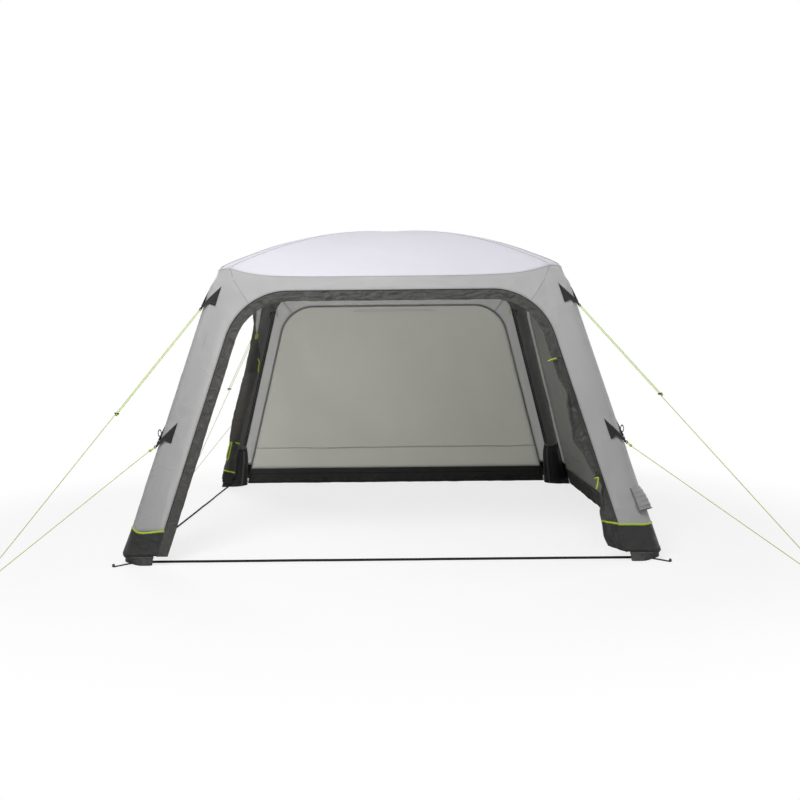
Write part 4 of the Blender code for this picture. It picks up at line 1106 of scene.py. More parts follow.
def add_facades():
    """The grey sides as one cloth: four faces round the arches and the rounded corners between."""
    parts = []
    area = 0.0
    for turn, side in enumerate(SIDES):
        face = facade_mesh(side_arch(side), corner_seed(turn))
        for bm, facing in ((face, FACE_OUT), (strip_mesh(turn), LEG_OUT)):
            face_towards(bm, facing)
            area += mesh_area(bm)
            bmesh.ops.rotate(bm, cent=(0, 0, 0), matrix=quarters(turn), verts=bm.verts)
            parts.append(bm)
    whole = join_meshes(parts)
    bmesh.ops.remove_doubles(whole, verts=whole.verts, dist=2 * GAP)
    creased = []
    for vert in whole.verts:
        x, y, z = (abs(value) for value in vert.co)
        crease = crease_x(z)
        near = min(abs(x - crease), abs(y - crease)) < CREASE_NEAR and min(x, y) > crease - CREASE_INSIDE
        if near and not vert.is_boundary:
            creased.append(vert)
    for _ in range(CREASE_SMOOTHINGS):
        bmesh.ops.smooth_vert(whole, verts=creased, factor=0.5, use_axis_x=True, use_axis_y=True,
                              use_axis_z=True)
    shoulder_mesh(whole)
    piece = add_piece("side_cloth", whole, FACADE_CLOTH, wall=CLOTH,
                      replaced=["facade_" + side for side in SIDES])
    width, length = band_size(Arch(*OPEN_ARCH))


def add_facade_seams():
    """Mitre seams over the arch's corners and a turned hem along the arch."""
    for turn, side in enumerate(SIDES):
        arch = side_arch(side)
        x, z = arch.arc_point(0.5)
        outer_x, outer_z = outer_of("arc", 0.5, arch)
        mitres = []
        for sign in (-1, 1):
            line = []
            for i in range(13):
                t = i / 12
                px = sign * (x + (outer_x - x) * t)
                pz = z + (outer_z - z) * t
                proud = facade_proud(px, pz, corner_seed(turn)) * faded(t, 5, 5)
                line.append(front_point(px, pz, proud))
            mitres += on_both_faces(line, "mitre")
        add_piece("mitre_seams_" + side, shoulder_mesh(join_meshes(mitres)), FACADE_SEAM,
                  turn=turn)
        hem = []
        for sign, _, _, px, pz in arch.stations(SIDE_FOOT, 30, 14, 14):
            over = HEM_IN if pz > arch.spring_z else 0.0
            hem.append(front_point(sign * (px + HEM_IN), pz + over))
        add_piece("arch_hem_" + side, join_meshes(on_both_faces(hem, "arch_hem")), FACADE_SEAM,
                  turn=turn)


# Roof.


ROOF_LEVELS = 44
# Levels where the dome's curve starts and where it is first read off.
ROOF_START = 0.03
ROOF_FIRST = 0.0301
PANEL_STEPS = 30
BAND_STEPS = 8


def roof_row(v):
    """Half width, height of the bands and dip of the panels at a level, from 0 to the crown's 1."""
    first = EAVES_HALF * 0.985
    last = CHAMFER + TRIM_WIDTH / 2
    half = first + (last - first) * (v - ROOF_START) / (1 - ROOF_START)
    return half, roof_height(half), (SEAM_CORNER - SEAM_MIDDLE) * (half / EAVES_HALF) ** 2


def panel_spot(share, v):
    """A point of the front roof panel, from the eaves (0) to the crown (1)."""
    seam_z = seam_height(share)
    seam = Vector((seam_x(share), -corner_half(seam_z), seam_z))
    if v <= 0.0:
        return seam
    half, height, dip = roof_row(max(v, ROOF_FIRST))
    z = height - dip * (1 - abs(share) ** SEAM_POWER)
    spot = Vector((share * (half - CHAMFER), -half, z))
    return spot.lerp(seam, max(1 - v / ROOF_START, 0.0))


def roof_spot(index, v):
    """A point of the roof by its place round it."""
    quarter, rest = divmod(index, PANEL_STEPS + BAND_STEPS)
    if rest <= PANEL_STEPS:
        share = -1 + 2 * rest / PANEL_STEPS
        spot = panel_spot(share, v)
        fade = faded(v, 12, 6) * min(1.0, (1 - abs(share)) * 6)
        x = spot.x + quarter * 9
        waves = ripple(Vector((x, spot.y, 0)), 0.45, 31 + quarter) * 0.006
        waves += ripple(Vector((x, spot.y * 0.4, 0)), 0.12, 37 + quarter) * 0.0012
        spot.z += waves * fade
    else:
        a = panel_spot(1, v)
        b = quarters(1) @ panel_spot(-1, v)
        across = (rest - PANEL_STEPS) / BAND_STEPS
        spot = a.lerp(b, across)
        out = Vector((a.x + b.x, a.y + b.y, 0)).normalized()
        level = min((a.z - EAVES_HEIGHT) / ROOF_RISE, 1.0)
        lift = (out * (1 - level) + upward(max(level, 0.25))).normalized()
        bulge = strip_reach(SEAM_CORNER, round(2 * across - 1, 4)) - chamfer_reach(SEAM_CORNER)
        spot += out * (bulge * max(1 - v * 12, 0.0))
        spot += lift * (0.0045 * faded(v, 12, 8) * math.cos((across - 0.5) * math.pi))
    return quarters(quarter) @ spot


def add_roof():
    """Domed roof, its band seams and the tape along the eaves."""
    per = (PANEL_STEPS + BAND_STEPS) * 4

    def place(u, v):
        if v >= 0.999:
            return upward(EAVES_HEIGHT + ROOF_RISE)
        return roof_spot(round(u * per) % per, v)

    bm = lay_grid(per, ROOF_LEVELS, place)
    bmesh.ops.remove_doubles(bm, verts=bm.verts, dist=GAP / 10)
    face_towards(bm, upward(1))
    shoulder_mesh(bm)
    area = mesh_area(bm)
    piece = add_piece("roof_cloth", bm, ROOF_CLOTH, wall=CLOTH, replaced=["roof_canopy"])
    bands = []
    for quarter in range(4):
        for share in (-1, 1):
            points = []
            outs = []
            for i in range(1, 60):
                v = i / 61
                spot = panel_spot(share, v)
                ahead = panel_spot(share, v + 0.01) - spot
                out = ahead.cross(spot - panel_spot(share * 0.9, v)).normalized()
                out = out if out.z > 0 else -out
                points.append(quarters(quarter) @ (spot + out * GAP))
                outs.append(quarters(quarter) @ out)
            bands.append(ribbon(points, outs, "roof_band"))
    add_piece("roof_band_seams", shoulder_mesh(join_meshes(bands)), ROOF_SEAM)
    seam = [panel_spot(-1 + i / 30, 0.0) + FACE_OUT * GAP for i in range(61)]
    arc = [strip_spot(SEAM_CORNER, -1 + i / 8) + OUTWARD * GAP for i in range(17)]
    eaves = []
    for quarter in range(4):
        for line, out in ((seam, FACE_OUT), (arc, LEG_OUT)):
            points = [quarters(quarter) @ spot for spot in line]
            eaves.append(ribbon(points, [quarters(quarter) @ out] * len(line), "eaves"))
    add_piece("eaves_seam", shoulder_mesh(join_meshes(eaves)), FACADE_SEAM)


# Dark trims along the open arches.


# Width of the tied trims at shares of the leg's height, in shares of the trim's width.
TIED_HEIGHT_SHARES = (0.0, 0.05, 0.16, 0.25, 0.30, 0.35, 0.42, 0.50, 0.58, 0.66, 0.73, 0.80, 1.0)
TIED_WIDTH_SHARES = {
    "front": (1.60, 1.62, 1.30, 0.66, 0.26, 0.70, 0.90, 1.45, 1.20, 1.00, 0.62, 0.95, 1.0),
    "left": (0.90, 0.80, 0.60, 0.40, 0.80, 1.45, 1.90, 2.20, 2.00, 1.70, 1.20, 0.55, 1.0),
}
TIED_SIGN = {"front": 1, "left": -1}
# Steps of the trims along the leg, round the arc and along half the top.
TRIM_STEPS = (110, 44, 50)
PLEAT_DEPTH = 0.0060
ROLLED_DEPTH = 0.03
# How deep the tied trims hang into the cabin at each height, and how high their dark foot reaches.
TIED_DEPTHS = {
    "front": ((0.048, 0.004), (0.20, 0.012), (0.40, 0.010), (0.475, 0.006), (0.60, 0.020), (0.80, 0.028),
              (1.00, 0.020), (1.139, 0.006), (1.20, 0.0)),
    "left": ((0.048, 0.085), (0.165, 0.100), (0.30, 0.085), (0.42, 0.078), (0.50, 0.085), (0.62, 0.090),
             (0.80, 0.095), (1.00, 0.100), (1.15, 0.095), (1.27, 0.065), (1.345, 0.020), (1.45, 0.0)),
}
TIED_FOOT_TOP = {"front": (0.201, 0.2195), "left": (0.165, 0.165)}


def tied_share(z, arch, side):
    """Width of the tied-back trim at that height, as a share of the trim's width."""
    along = clamped((z - TRIM_FOOT) / (arch.spring_z - TRIM_FOOT))
    return read_off(list(zip(TIED_HEIGHT_SHARES, TIED_WIDTH_SHARES[side])), along)


def trim_layout(side, turn):
    """Lays out the wrinkled band along an open arch, bunched where it is tied back on one leg."""
    arch = Arch(*OPEN_ARCH, GAP)
    inner = Arch(*OPEN_ARCH, TRIM_WIDTH - 0.004)
    outer_line = arch.stations(TRIM_FOOT, *TRIM_STEPS)
    inner_line = inner.stations(TRIM_FOOT, *TRIM_STEPS)
    count = len(outer_line) - 1
    run = [0.0]
    for a, b in zip(outer_line, outer_line[1:]):
        run.append(run[-1] + math.hypot(a[0] * a[3] - b[0] * b[3], a[4] - b[4]))

    def place(u, v):
        i = round(u * count)
        sign, kind, share, x, z = outer_line[i]
        ix, iz = inner_line[i][3:]
        tied_side = sign == TIED_SIGN[side]
        tied = tied_side and kind == "leg"
        depth = read_off(TIED_DEPTHS[side], z) if tied_side and kind != "top" else 0.0
        if tied:
            share_here = tied_share(z, arch, side)
            ix = x - TRIM_WIDTH * share_here
            iz = z + FLAP_RISE * max(1 - share * 14, 0.0)
        rolled = min(depth / ROLLED_DEPTH, 1.0)
        lane = v * TRIM_WIDTH + run[i] * 0.10
        wave = ripple(Vector((run[i] * 0.30, lane, turn)), 0.022, turn + 50) * 0.0060
        wave += ripple(Vector((run[i], v * 0.03, turn)), 0.035, turn + 50) * 0.0025
        edge = ripple(Vector((run[i], 0.5, turn)), 0.06, turn + 60) * 0.0022 * v
        if tied:
            start = eased(min((arch.spring_z - z) * 4, 1.0))
            bunch = (1.6 - min(share_here, 1.5) * 0.5) * start
            pleats = math.sin(v * math.pi * 5 + ripple(Vector((0, 0, z)), 0.2, 8) * 1.5)
            pleats *= PLEAT_DEPTH * bunch
            edge += pleats * math.cos(v * math.pi) * rolled
            wave = wave * (1 - 0.3 * start) + pleats * (1 - rolled)
        wave -= depth * math.sin(v * math.pi)
        across = v + ((1 - math.cos(v * math.pi)) / 2 - v) * rolled
        px = x + (ix - x) * across + edge
        pz = z + (iz - z) * across + (edge if kind != "leg" else 0.0)
        return front_point(sign * px, max(pz, TRIM_FOOT), wave * min(1.0, v * 4))

    return place, count


def add_trims():
    """The two dark trims with their rolled inner edge and the stitched line along the arch."""
    for side in OPEN_SIDES:
        turn = SIDES.index(side)
        place, count = trim_layout(side, turn)
        bm = lay_grid(count, 20, place)
        face_towards(bm, FACE_OUT)
        area = mesh_area(bm)
        edge = [place(i / count, 1.0) for i in range(count + 1)]
        piece = add_piece("trim_cloth_" + side, bm, TRIM_CLOTH, wall=CLOTH, turn=turn,
                          replaced=["arch_trim_" + side])
        length = line_length(edge)
        hem = tube_mesh(edge[::2], 0.0026, 8)
        add_piece("trim_hem_" + side, hem, TRIM_CLOTH, turn=turn)
        line = [spot + FACE_OUT * 0.0006 for spot in Arch(*OPEN_ARCH).line(TRIM_FOOT + 0.01, 60, 24, 30)]
        seam = ribbon(line, [FACE_OUT] * len(line), "trim_seam")
        add_piece("trim_seam_" + side, seam, DARK_SEAM, turn=turn)
        add_tied_foot(side, turn, place, count)


def add_tied_foot(side, turn, place, count):
    """Dark foot of a tied trim, with the boot's lime piping running on over it."""
    stations = Arch(*OPEN_ARCH, GAP).stations(TRIM_FOOT, *TRIM_STEPS)
    legs = [(s[4], i) for i, s in enumerate(stations) if s[0] == TIED_SIGN[side] and s[1] == "leg"]
    legs.sort()
    out = FACE_OUT if side == "front" else Vector((1, 0, 0))
    near, far = TIED_FOOT_TOP[side]
    low_z = TRIM_FOOT + 0.001

    def spot(across, z):
        for (low, a), (high, b) in zip(legs, legs[1:]):
            if z <= high:
                t = (z - low) / (high - low)
                return place(a / count, across).lerp(place(b / count, across), t)
        return place(legs[-1][1] / count, across)

    def foot_spot(u, v):
        top = near + (far - near) * u
        return spot(u, low_z + (top - low_z) * v) + out * 0.0024

    bm = lay_grid(24, 14, foot_spot, (0.12, 0.16))
    face_towards(bm, FACE_OUT)
    add_piece("tied_foot_" + side, bm, BOOT_CLOTH, wall=0.0012, turn=turn)
    line = [foot_spot(k / 24, 1.0) + out * 0.0006 for k in range(25)]
    add_piece("tied_piping_" + side, ribbon(line, [out] * 25, "piping"), LIME_TAPE, turn=turn)


# Walls and skirts.


# Wall folds in shares of the half width and of the height: two ends, a width and a size each.
FOLD_SHARES = (
    (0.10, 0.20, 0.75, 0.62, 0.10, 1.0),
    (0.45, 0.12, 0.95, 0.34, 0.06, 0.8),
    (-0.80, 0.10, -0.55, 0.55, 0.07, 0.6),
    (0.55, 0.45, 0.85, 0.80, 0.06, 0.5),
)


def wall_fold(x_share, z_share):
    """Depth of the wall's soft folds, from the outline (0) inwards."""
    edge = min(1 - abs(x_share), z_share, 1 - z_share)
    return FOLD_DEPTH * pulled(x_share, z_share, FOLD_SHARES, 0.0) * clamped(edge * 8)


def wall_spot(arch, x_share, z, seed):
    """A point of the wall's outer face."""
    z_share = (z - WALL_FOOT) / (arch.top - WALL_FOOT)
    x = x_share * arch.half_width(z)
    edge = min(1.0, min(1 - abs(x_share), z_share, 1 - z_share) * 14)
    place = Vector((x, seed, z))
    wave = ripple(place, 0.22, seed, 1.5) * 0.0045 + ripple(place, 0.07, seed + 3, 1.3) * 0.0012
    sag = 0.004 * math.sin(z_share * math.pi) * (1 - x_share**2)
    inwards = wall_fold(x_share, z_share) + (wave + sag) * max(edge, 0.0)
    return front_point(x, z, -inwards)


def skirt_spot(arch, u, v, seed):
    """A point of the skirt's outer face."""
    z = SKIRT_FOOT + (SKIRT_TOP - SKIRT_FOOT) * v
    x = (2 * u - 1) * arch.half_width(z)
    wave = ripple(Vector((x, seed, z)), 0.12, seed + 5, 1.0) * 0.0060 * (1 - v * 0.8)
    wave += ripple(Vector((x, seed, z * 2)), 0.04, seed + 6) * 0.0016
    return front_point(x, z, wave * faded(u, 10, 10))


def wall_heights(arch):
    """Heights of the wall's rows, closer where the arch turns."""
    rows = [WALL_FOOT + (arch.spring_z - WALL_FOOT) * i / 44 for i in range(44)]
    rows += [arch.arc_point(i / 22)[1] for i in range(22)]
    return [z for z in rows if z < arch.top - 0.0006] + [arch.top]


def add_wall(side):
    """Zipped-in wall with its skirt, seams, hem and zip tape, all hinged on the arch's flat top."""
    turn = SIDES.index(side)
    body = side + "_wall_panel"
    arch = Arch(*WALL_ARCH, GAP)
    heights = wall_heights(arch)
    count = len(heights) - 1
    seed = turn + 70
    bm = lay_grid(60, count, lambda u, v: wall_spot(arch, 2 * u - 1, heights[round(v * count)], seed))
    face_towards(bm, FACE_OUT)
    area = mesh_area(bm)
    # The right wall takes the copy of the wall cloth that carries painted shade and is darker from inside.
    cloth_here = WALL_CLOTH if side == "rear" else SHADED_SIDE_WALL_CLOTH
    piece = add_piece("wall_cloth_" + side, bm, cloth_here, body, CLOTH, turn,
                      [side + "_wall"])
    width = arch.half_width(WALL_FOOT) * 2
    bm = lay_grid(120, 12, lambda u, v: skirt_spot(arch, u, v, seed))
    face_towards(bm, FACE_OUT)
    area = mesh_area(bm)
    skirt = add_piece("skirt_cloth_" + side, bm, SKIRT_CLOTH, body, CLOTH, turn,
                      [side + "_skirt"])
    width = arch.half_width(SKIRT_FOOT) * 2
    seams = []
    for z in SEAM_HEIGHTS:
        line = [wall_spot(arch, (-1 + i / 40) * 0.996, z, seed) for i in range(81)]
        seams += on_both_faces(line, "wall_seam", GAP)
    for drop in TUCK_DROPS:
        line = [wall_spot(arch, (-1 + i / 30) * TUCK_SPAN, arch.top - drop, seed) for i in range(61)]
        inner = [spot - FACE_OUT * (CLOTH + GAP) for spot in line]
        seams.append(ribbon(inner, [-FACE_OUT] * 61, "wall_tuck"))
    add_piece("wall_seams_" + side, join_meshes(seams), WALL_SEAM, body, turn=turn)
    hems = []
    for z in SKIRT_SEAM_HEIGHTS:
        v = (z - SKIRT_FOOT) / (SKIRT_TOP - SKIRT_FOOT)
        line = [skirt_spot(arch, 0.004 + i / 120 * 0.992, v, seed) for i in range(121)]
        hems += on_both_faces(line, "dark_hem", GAP)
    add_piece("skirt_seams_" + side, join_meshes(hems), DARK_SEAM, body, turn=turn)
    for name, offset, rider in (("wall_zip_", 0.0036, body), ("facade_zip_", -0.0026, "shelter")):
        line = Arch(*WALL_ARCH, offset).line(SKIRT_FOOT + 0.012, 50, 26, 30)
        tapes = join_meshes(on_both_faces(line, "wall_zip", 0.0006))
        add_piece(name + side, tapes, WALL_ZIP, rider, turn=turn)


# Boots, bases and ground straps.


BOOT_STEPS = 44
BASE_STEPS = 120


def boot_outline(z):
    """Line of the boot at that height, from the left face round the corner to the front face."""
    half = corner_half(z)
    edge = half - LEG_FACE + GAP
    strip = [strip_spot(z, -1 + i / 8) for i in range(17)]
    line = [Vector((-half, -edge, z)).lerp(strip[0], i / 14) for i in range(14)] + strip
    return line + [strip[-1].lerp(Vector((-edge, -half, z)), i / 14) for i in range(1, 15)]


# Height of the boots' piping over their top, round each corner.
PIPING_RISE = {
    "front_left": ((0.0, 0.010), (0.45, 0.014), (0.68, -0.011), (1.0, -0.003)),
    "front_right": ((0.0, 0.011), (0.35, 0.010), (0.55, 0.014), (1.0, 0.010)),
    "rear_right": ((0.0, 0.0), (1.0, 0.0)),
    "rear_left": ((0.0, 0.0), (1.0, 0.0)),
}


def add_boots():
    """Dark boots with a lime piping on top and a stitched hem below."""
    outs = []
    for i in range(BOOT_STEPS + 1):
        turned = Vector((-1, -0.02, SLOPE)).lerp(Vector((-0.02, -1, SLOPE)), eased(i / BOOT_STEPS))
        outs.append(turned.normalized())
    for turn, corner in enumerate(CORNERS):

        def boot_spot(u, v, turn=turn, rises=PIPING_RISE[corner]):
            z = BOOT_FOOT + (BOOT_TOP + read_off(rises, u) - BOOT_FOOT) * v
            spot = boot_outline(z)[round(u * BOOT_STEPS)]
            out = spot - OUTWARD * (leg_axis_reach(z) - 0.10)
            out = Vector((out.x, out.y, 0)).normalized()
            wave = ripple(Vector((u * 0.5, turn, z)), 0.05, turn + 80, 2.6) * 0.0055
            wave += math.sin(u * 34 + z * 14 + turn) * 0.0022
            return spot + out * (max(wave, -0.001) * faded(u, 8, 8) * faded(v, 6, 5) + 0.0022)

        bm = lay_grid(BOOT_STEPS, 16, boot_spot)
        face_towards(bm, OUTWARD)
        area = mesh_area(bm)
        piece = add_piece("boot_cloth_" + corner, bm, BOOT_CLOTH, wall=CLOTH, turn=turn,
                          replaced=["boot_" + corner])
        width = line_length(boot_outline(BOOT_FOOT))
        top = [boot_spot(i / BOOT_STEPS, 1.0) + o * 0.0006 - upward(0.003) for i, o in enumerate(outs)]
        add_piece("boot_piping_" + corner, ribbon(top, outs, "piping"), LIME_TAPE, turn=turn)
        low = [boot_spot(i / BOOT_STEPS, 0.10) + o * 0.0005 for i, o in enumerate(outs)]
        add_piece("boot_hem_" + corner, ribbon(low, outs, "dark_hem"), DARK_SEAM, turn=turn)


def base_outline(z, spread, cut_share, reach):
    """Closed outline of the leg's base."""
    half = corner_half(z) + spread
    points = [Vector((-BASE_CORNER, -BASE_CORNER, z)), Vector((-half, -PAD_INNER, z))]
    for i in range(13):
        share = -1 + i / 6
        side = share * CHAMFER / math.sqrt(2) * cut_share
        points.append(corner_point(reach(z, share) + spread, side, z))
    points.append(Vector((-PAD_INNER, -half, z)))
    return points


def spaced(points):
    """A closed line with a set number of steps in each part, so that its corners stay."""
    steps = [26, 22] + [2] * (len(points) - 4) + [22, 26]
    found = []
    for a, b, count in zip(points, points[1:] + points[:1], steps):
        found += [a.lerp(b, i / count) for i in range(count)]
    return found


def softened(points, reach):
    """A closed line with its corners rounded over so many steps."""
    count = len(points)
    near = range(-reach, reach + 1)
    return [sum((points[(i + k) % count] for k in near), Vector()) / len(near) for i in range(count)]


def plate_with_slot():
    """Flat tongue with a slot for a peg, before its thickness."""
    bm = bmesh.new()
    start = BASE_REACH - TONGUE_WIDTH
    middle = (start + TONGUE_REACH) / 2
    half_long = (TONGUE_REACH - start) / 2
    outer = bmesh.ops.create_circle(bm, cap_ends=False, segments=24, radius=1.0)["verts"]
    inner = bmesh.ops.create_circle(bm, cap_ends=False, segments=24, radius=1.0)["verts"]
    for vert in outer:
        a = vert.co.normalized()
        reach = middle + math.copysign(half_long * min(1.0, abs(a.x) * 1.6), a.x)
        side = math.copysign(TONGUE_WIDTH / 2 * min(1.0, abs(a.y) * 2.2), a.y)
        vert.co = corner_point(reach, side, TONGUE_THICKNESS)
    for vert in inner:
        a = vert.co.normalized()
        reach = SLOT_MIDDLE + math.copysign(SLOT_STRAIGHT, a.x) + a.x * EYELET_WIDTH / 2
        vert.co = corner_point(reach, a.y * EYELET_WIDTH / 2, TONGUE_THICKNESS)
    bmesh.ops.bridge_loops(bm, edges=list(bm.edges))
    face_towards(bm, upward(1))
    return bm


def eyelet_mesh():
    """Metal rim of the tongue's slot."""
    bm = ring_mesh(EYELET_WIDTH / 2 + 0.0012, 0.0011, Vector(), upward(1))
    for vert in bm.verts:
        vert.co.x += math.copysign(SLOT_STRAIGHT, vert.co.x) if abs(vert.co.x) > GAP else 0.0
    bmesh.ops.rotate(bm, cent=(0, 0, 0), matrix=quarters(0.5), verts=bm.verts)
    bmesh.ops.translate(bm, vec=corner_point(SLOT_MIDDLE, 0, TONGUE_THICKNESS), verts=bm.verts)
    return bm


def from_base_middle(spot):
    """Level direction to a point from the middle of the base."""
    out = spot - OUTWARD * BASE_MIDDLE
    return Vector((out.x, out.y, 0)).normalized()


def add_bases():
    """Shallow bases under the boots, each with a webbing tongue, its eyelet and a peg loop."""
    bottom = softened(spaced(base_outline(0, 0.0, BASE_CUT / CHAMFER, lambda z, share: BASE_REACH)), 6)
    top = spaced(base_outline(BASE_TOP + 0.006, -0.002, 1.0, strip_reach))
    for turn, corner in enumerate(CORNERS):

        def base_spot(u, v, turn=turn):
            i = round(u * BASE_STEPS) % BASE_STEPS
            spot = bottom[i].lerp(top[i], v)
            tuck = -0.002 * max(1 - v * 9, 0.0)
            wave = ripple(Vector((u * 0.9, turn, v * 0.05)), 0.06, turn + 90)
            return spot + from_base_middle(spot) * (wave * 0.0030 * math.sin(v * math.pi) + tuck)

        bm = lay_grid(BASE_STEPS, 14, base_spot)
        bmesh.ops.remove_doubles(bm, verts=bm.verts, dist=GAP / 4)
        floor = [edge for edge in bm.edges if edge.is_boundary and edge.verts[0].co.z < BASE_TOP / 2]
        bmesh.ops.holes_fill(bm, edges=floor)
        bmesh.ops.triangulate(bm, faces=[face for face in bm.faces if len(face.verts) > 4])
        bmesh.ops.recalc_face_normals(bm, faces=bm.faces)
        face_away(bm, OUTWARD * BASE_MIDDLE + upward(BASE_TOP))
        add_piece("base_cloth_" + corner, bm, BASE_CLOTH, wall=CLOTH, turn=turn,
                  replaced=["foot_pad_" + corner])
        rim = [base_spot(i / BASE_STEPS, 0.86) for i in range(BASE_STEPS + 1)]
        outs = [from_base_middle(spot) for spot in rim]
        rim = [spot + out * 0.0005 - upward(0.004) for spot, out in zip(rim, outs)]
        add_piece("base_binding_" + corner, ribbon(rim, outs, "base_binding"), GREY_TAPE,
                  turn=turn)
        add_piece("peg_tongue_" + corner, plate_with_slot(), PEG_WEBBING,
                  wall=TONGUE_THICKNESS, turn=turn)
        add_piece("eyelet_" + corner, eyelet_mesh(), DARK_METAL, turn=turn)
        loop_spot = corner_point(TONGUE_REACH - 0.004, 0, TONGUE_THICKNESS + 0.007)
        add_piece("peg_loop_" + corner, ring_mesh(0.0050, 0.0034, loop_spot, ACROSS), PEG_WEBBING,
                  turn=turn)


def add_straps():
    """Webbing on edge along the ground between two bases, a little twisted."""
    half = PAD_INNER + STRAP_TUCK
    for side in OPEN_SIDES:
        turn = SIDES.index(side)

        def strap_spot(u, v, turn=turn):
            x = -half + 2 * half * v
            ends = faded(v, 14, 14)
            sway = ripple(Vector((x, turn, 0)), 0.45, 95 + turn) * 0.0035 * ends
            lean = ripple(Vector((x, turn, 1)), 0.6, 97 + turn) * 0.35 * ends
            height = 0.0006 + u * (STRAP_HEIGHT - 0.001) * math.cos(lean)
            return Vector((x, -STRAP_LINE + sway - 0.0010 + u * math.sin(lean) * 0.006, height))

        bm = lay_grid(6, 260, strap_spot, (STRAP_HEIGHT, 2 * half))
        face_towards(bm, Vector((0, -1, 0)))
        add_piece("ground_webbing_" + side, bm, WEBBING_TAPE, wall=0.0019, turn=turn,
                  replaced=["ground_strap_" + side])


# Sleeves round the beams.


KNEE_STEPS = 14
ROUND_STEPS = 32


def in_space(point):
    """A point of the diagonal plane, given as reach and height."""
    return corner_point(point.x, 0, point.y)


def sleeve_dir(points, i, angle):
    """Unit vector from the axis, turned by so much from the inward side towards the across side."""
    along = (points[min(i + 1, len(points) - 1)] - points[max(i - 1, 0)]).normalized()
    return corner_point(-along.y, 0, along.x) * math.cos(angle) + ACROSS * math.sin(angle)


def sleeve_line(points, run, angle, lift):
    """Points along the sleeve at that angle round it, and the directions out of it there."""
    outs = [sleeve_dir(points, i, angle) for i in run]
    return [in_space(points[i]) + out * (SLEEVE_RADIUS + lift) for i, out in zip(run, outs)], outs


def zip_angle(turn):
    """Angle of the zip round the sleeve, mirrored from corner to corner."""
    return -ZIP_ANGLE if turn % 2 else ZIP_ANGLE


def sleeve_tube(rows, place, length, low):
    """Cloth round the beam from a function of its two shares, facing away from the axis."""
    bm = lay_grid(ROUND_STEPS, rows, place, (2 * math.pi * SLEEVE_RADIUS, length))
    bmesh.ops.remove_doubles(bm, verts=bm.verts, dist=GAP / 4)
    bmesh.ops.recalc_face_normals(bm, faces=bm.faces)
    face_off_axis(bm, in_space(low))
    return bm


def add_sleeve(points, turn, corner):
    """Dark sleeve with its zip and the seams beside it."""
    count = len(points) - 1
    knee = KNEE_STEPS * 4

    def sleeve_spot(u, v):
        i = round(v * count)
        out = sleeve_dir(points, i, 2 * math.pi * u)
        spot = in_space(points[i])
        facing = max(math.cos(2 * math.pi * u), 0.0)
        bend = math.exp(-(((i - knee - 7) / 7) ** 2))
        fold = abs(math.sin((i - knee) * 1.1)) * 0.0055 * bend * facing
        wave = ripple(spot + out * 0.05, 0.07, turn + 100, 1.6) * 0.0016
        return spot + out * (SLEEVE_RADIUS + fold + min(max(wave, -0.0003), 0.0009 + 0.002 * facing))

    add_piece("sleeve_cloth_" + corner, sleeve_tube(count, sleeve_spot, 3.2, points[0]), SLEEVE_CLOTH,
              wall=CLOTH, turn=turn, replaced=["beam_sleeve_" + corner])
    run = [i for i in range(count - 2) if points[i].y > CUFF_TOP]
    line, outs = sleeve_line(points, run, zip_angle(turn), 0.0006)
    add_piece("sleeve_zip_" + corner, ribbon(line, outs, "sleeve_zip"), ZIP_TAPE,
              turn=turn)
    seams = []
    for away in (0.30, -0.30):
        line, outs = sleeve_line(points, run, zip_angle(turn) + away, GAP)
        seams.append(ribbon(line, outs, "sleeve_seam"))
    add_piece("sleeve_seams_" + corner, join_meshes(seams), DARK_SEAM, turn=turn)


def add_cuff(points, turn, corner):
    """Flared cuff at the sleeve's foot, with its webbing and its upper hem."""
    low = points[0]
    high = [point for point in points if point.y <= CUFF_TOP + 0.01][-1]

    def cuff_spot(u, v):
        mid = low.lerp(high, 0.03 + 0.97 * v)
        wave = ripple(Vector((u * 0.36, turn, mid.y)), 0.05, turn + 110, 1.5) * 0.0008
        facing = eased(max(math.cos(2 * math.pi * u) + 0.17, 0.0) / 1.17)
        flare = CUFF_FLARE[corner] * facing * (1 - v) ** 0.6
        wave += math.sin(u * 2 * math.pi * 7) * 0.0028 * facing * (1 - v)
        out = sleeve_dir(points, 1, 2 * math.pi * u)
        spot = in_space(mid) + out * (SLEEVE_RADIUS + 0.0016 + flare + wave)
        spot.z = max(spot.z, BASE_TOP * (0.1 + 0.4 * v))
        return spot

    add_piece("sleeve_cuff_" + corner, sleeve_tube(24, cuff_spot, 0.37, low), BOOT_CLOTH,
              wall=CUFF_CLOTH, turn=turn)
    inward = sleeve_dir(points, 1, 0.0)
    stripe = [cuff_spot(0.0, i / 20) + inward * GAP for i in range(1, 21)]
    add_piece("cuff_webbing_" + corner, ribbon(stripe, [inward] * 20, "cuff_webbing"), GREY_TAPE,
              turn=turn)
    steps = range(ROUND_STEPS + 1)
    outs = [sleeve_dir(points, 1, 2 * math.pi * i / ROUND_STEPS) for i in steps]
    hem = [cuff_spot(i / ROUND_STEPS, 0.985) + outs[i] * GAP for i in steps]
    add_piece("cuff_hem_" + corner, ribbon(hem, outs, "sleeve_seam"), DARK_SEAM, turn=turn)


def add_sleeves():
    """Dark sleeves round the beams, with their cuffs and the cover of the crossing."""
    points = beam_axis(KNEE_STEPS, 40)
    for turn, corner in enumerate(CORNERS):
        add_sleeve(points, turn, corner)
        add_cuff(points, turn, corner)
    add_crown_cover(points[-1])


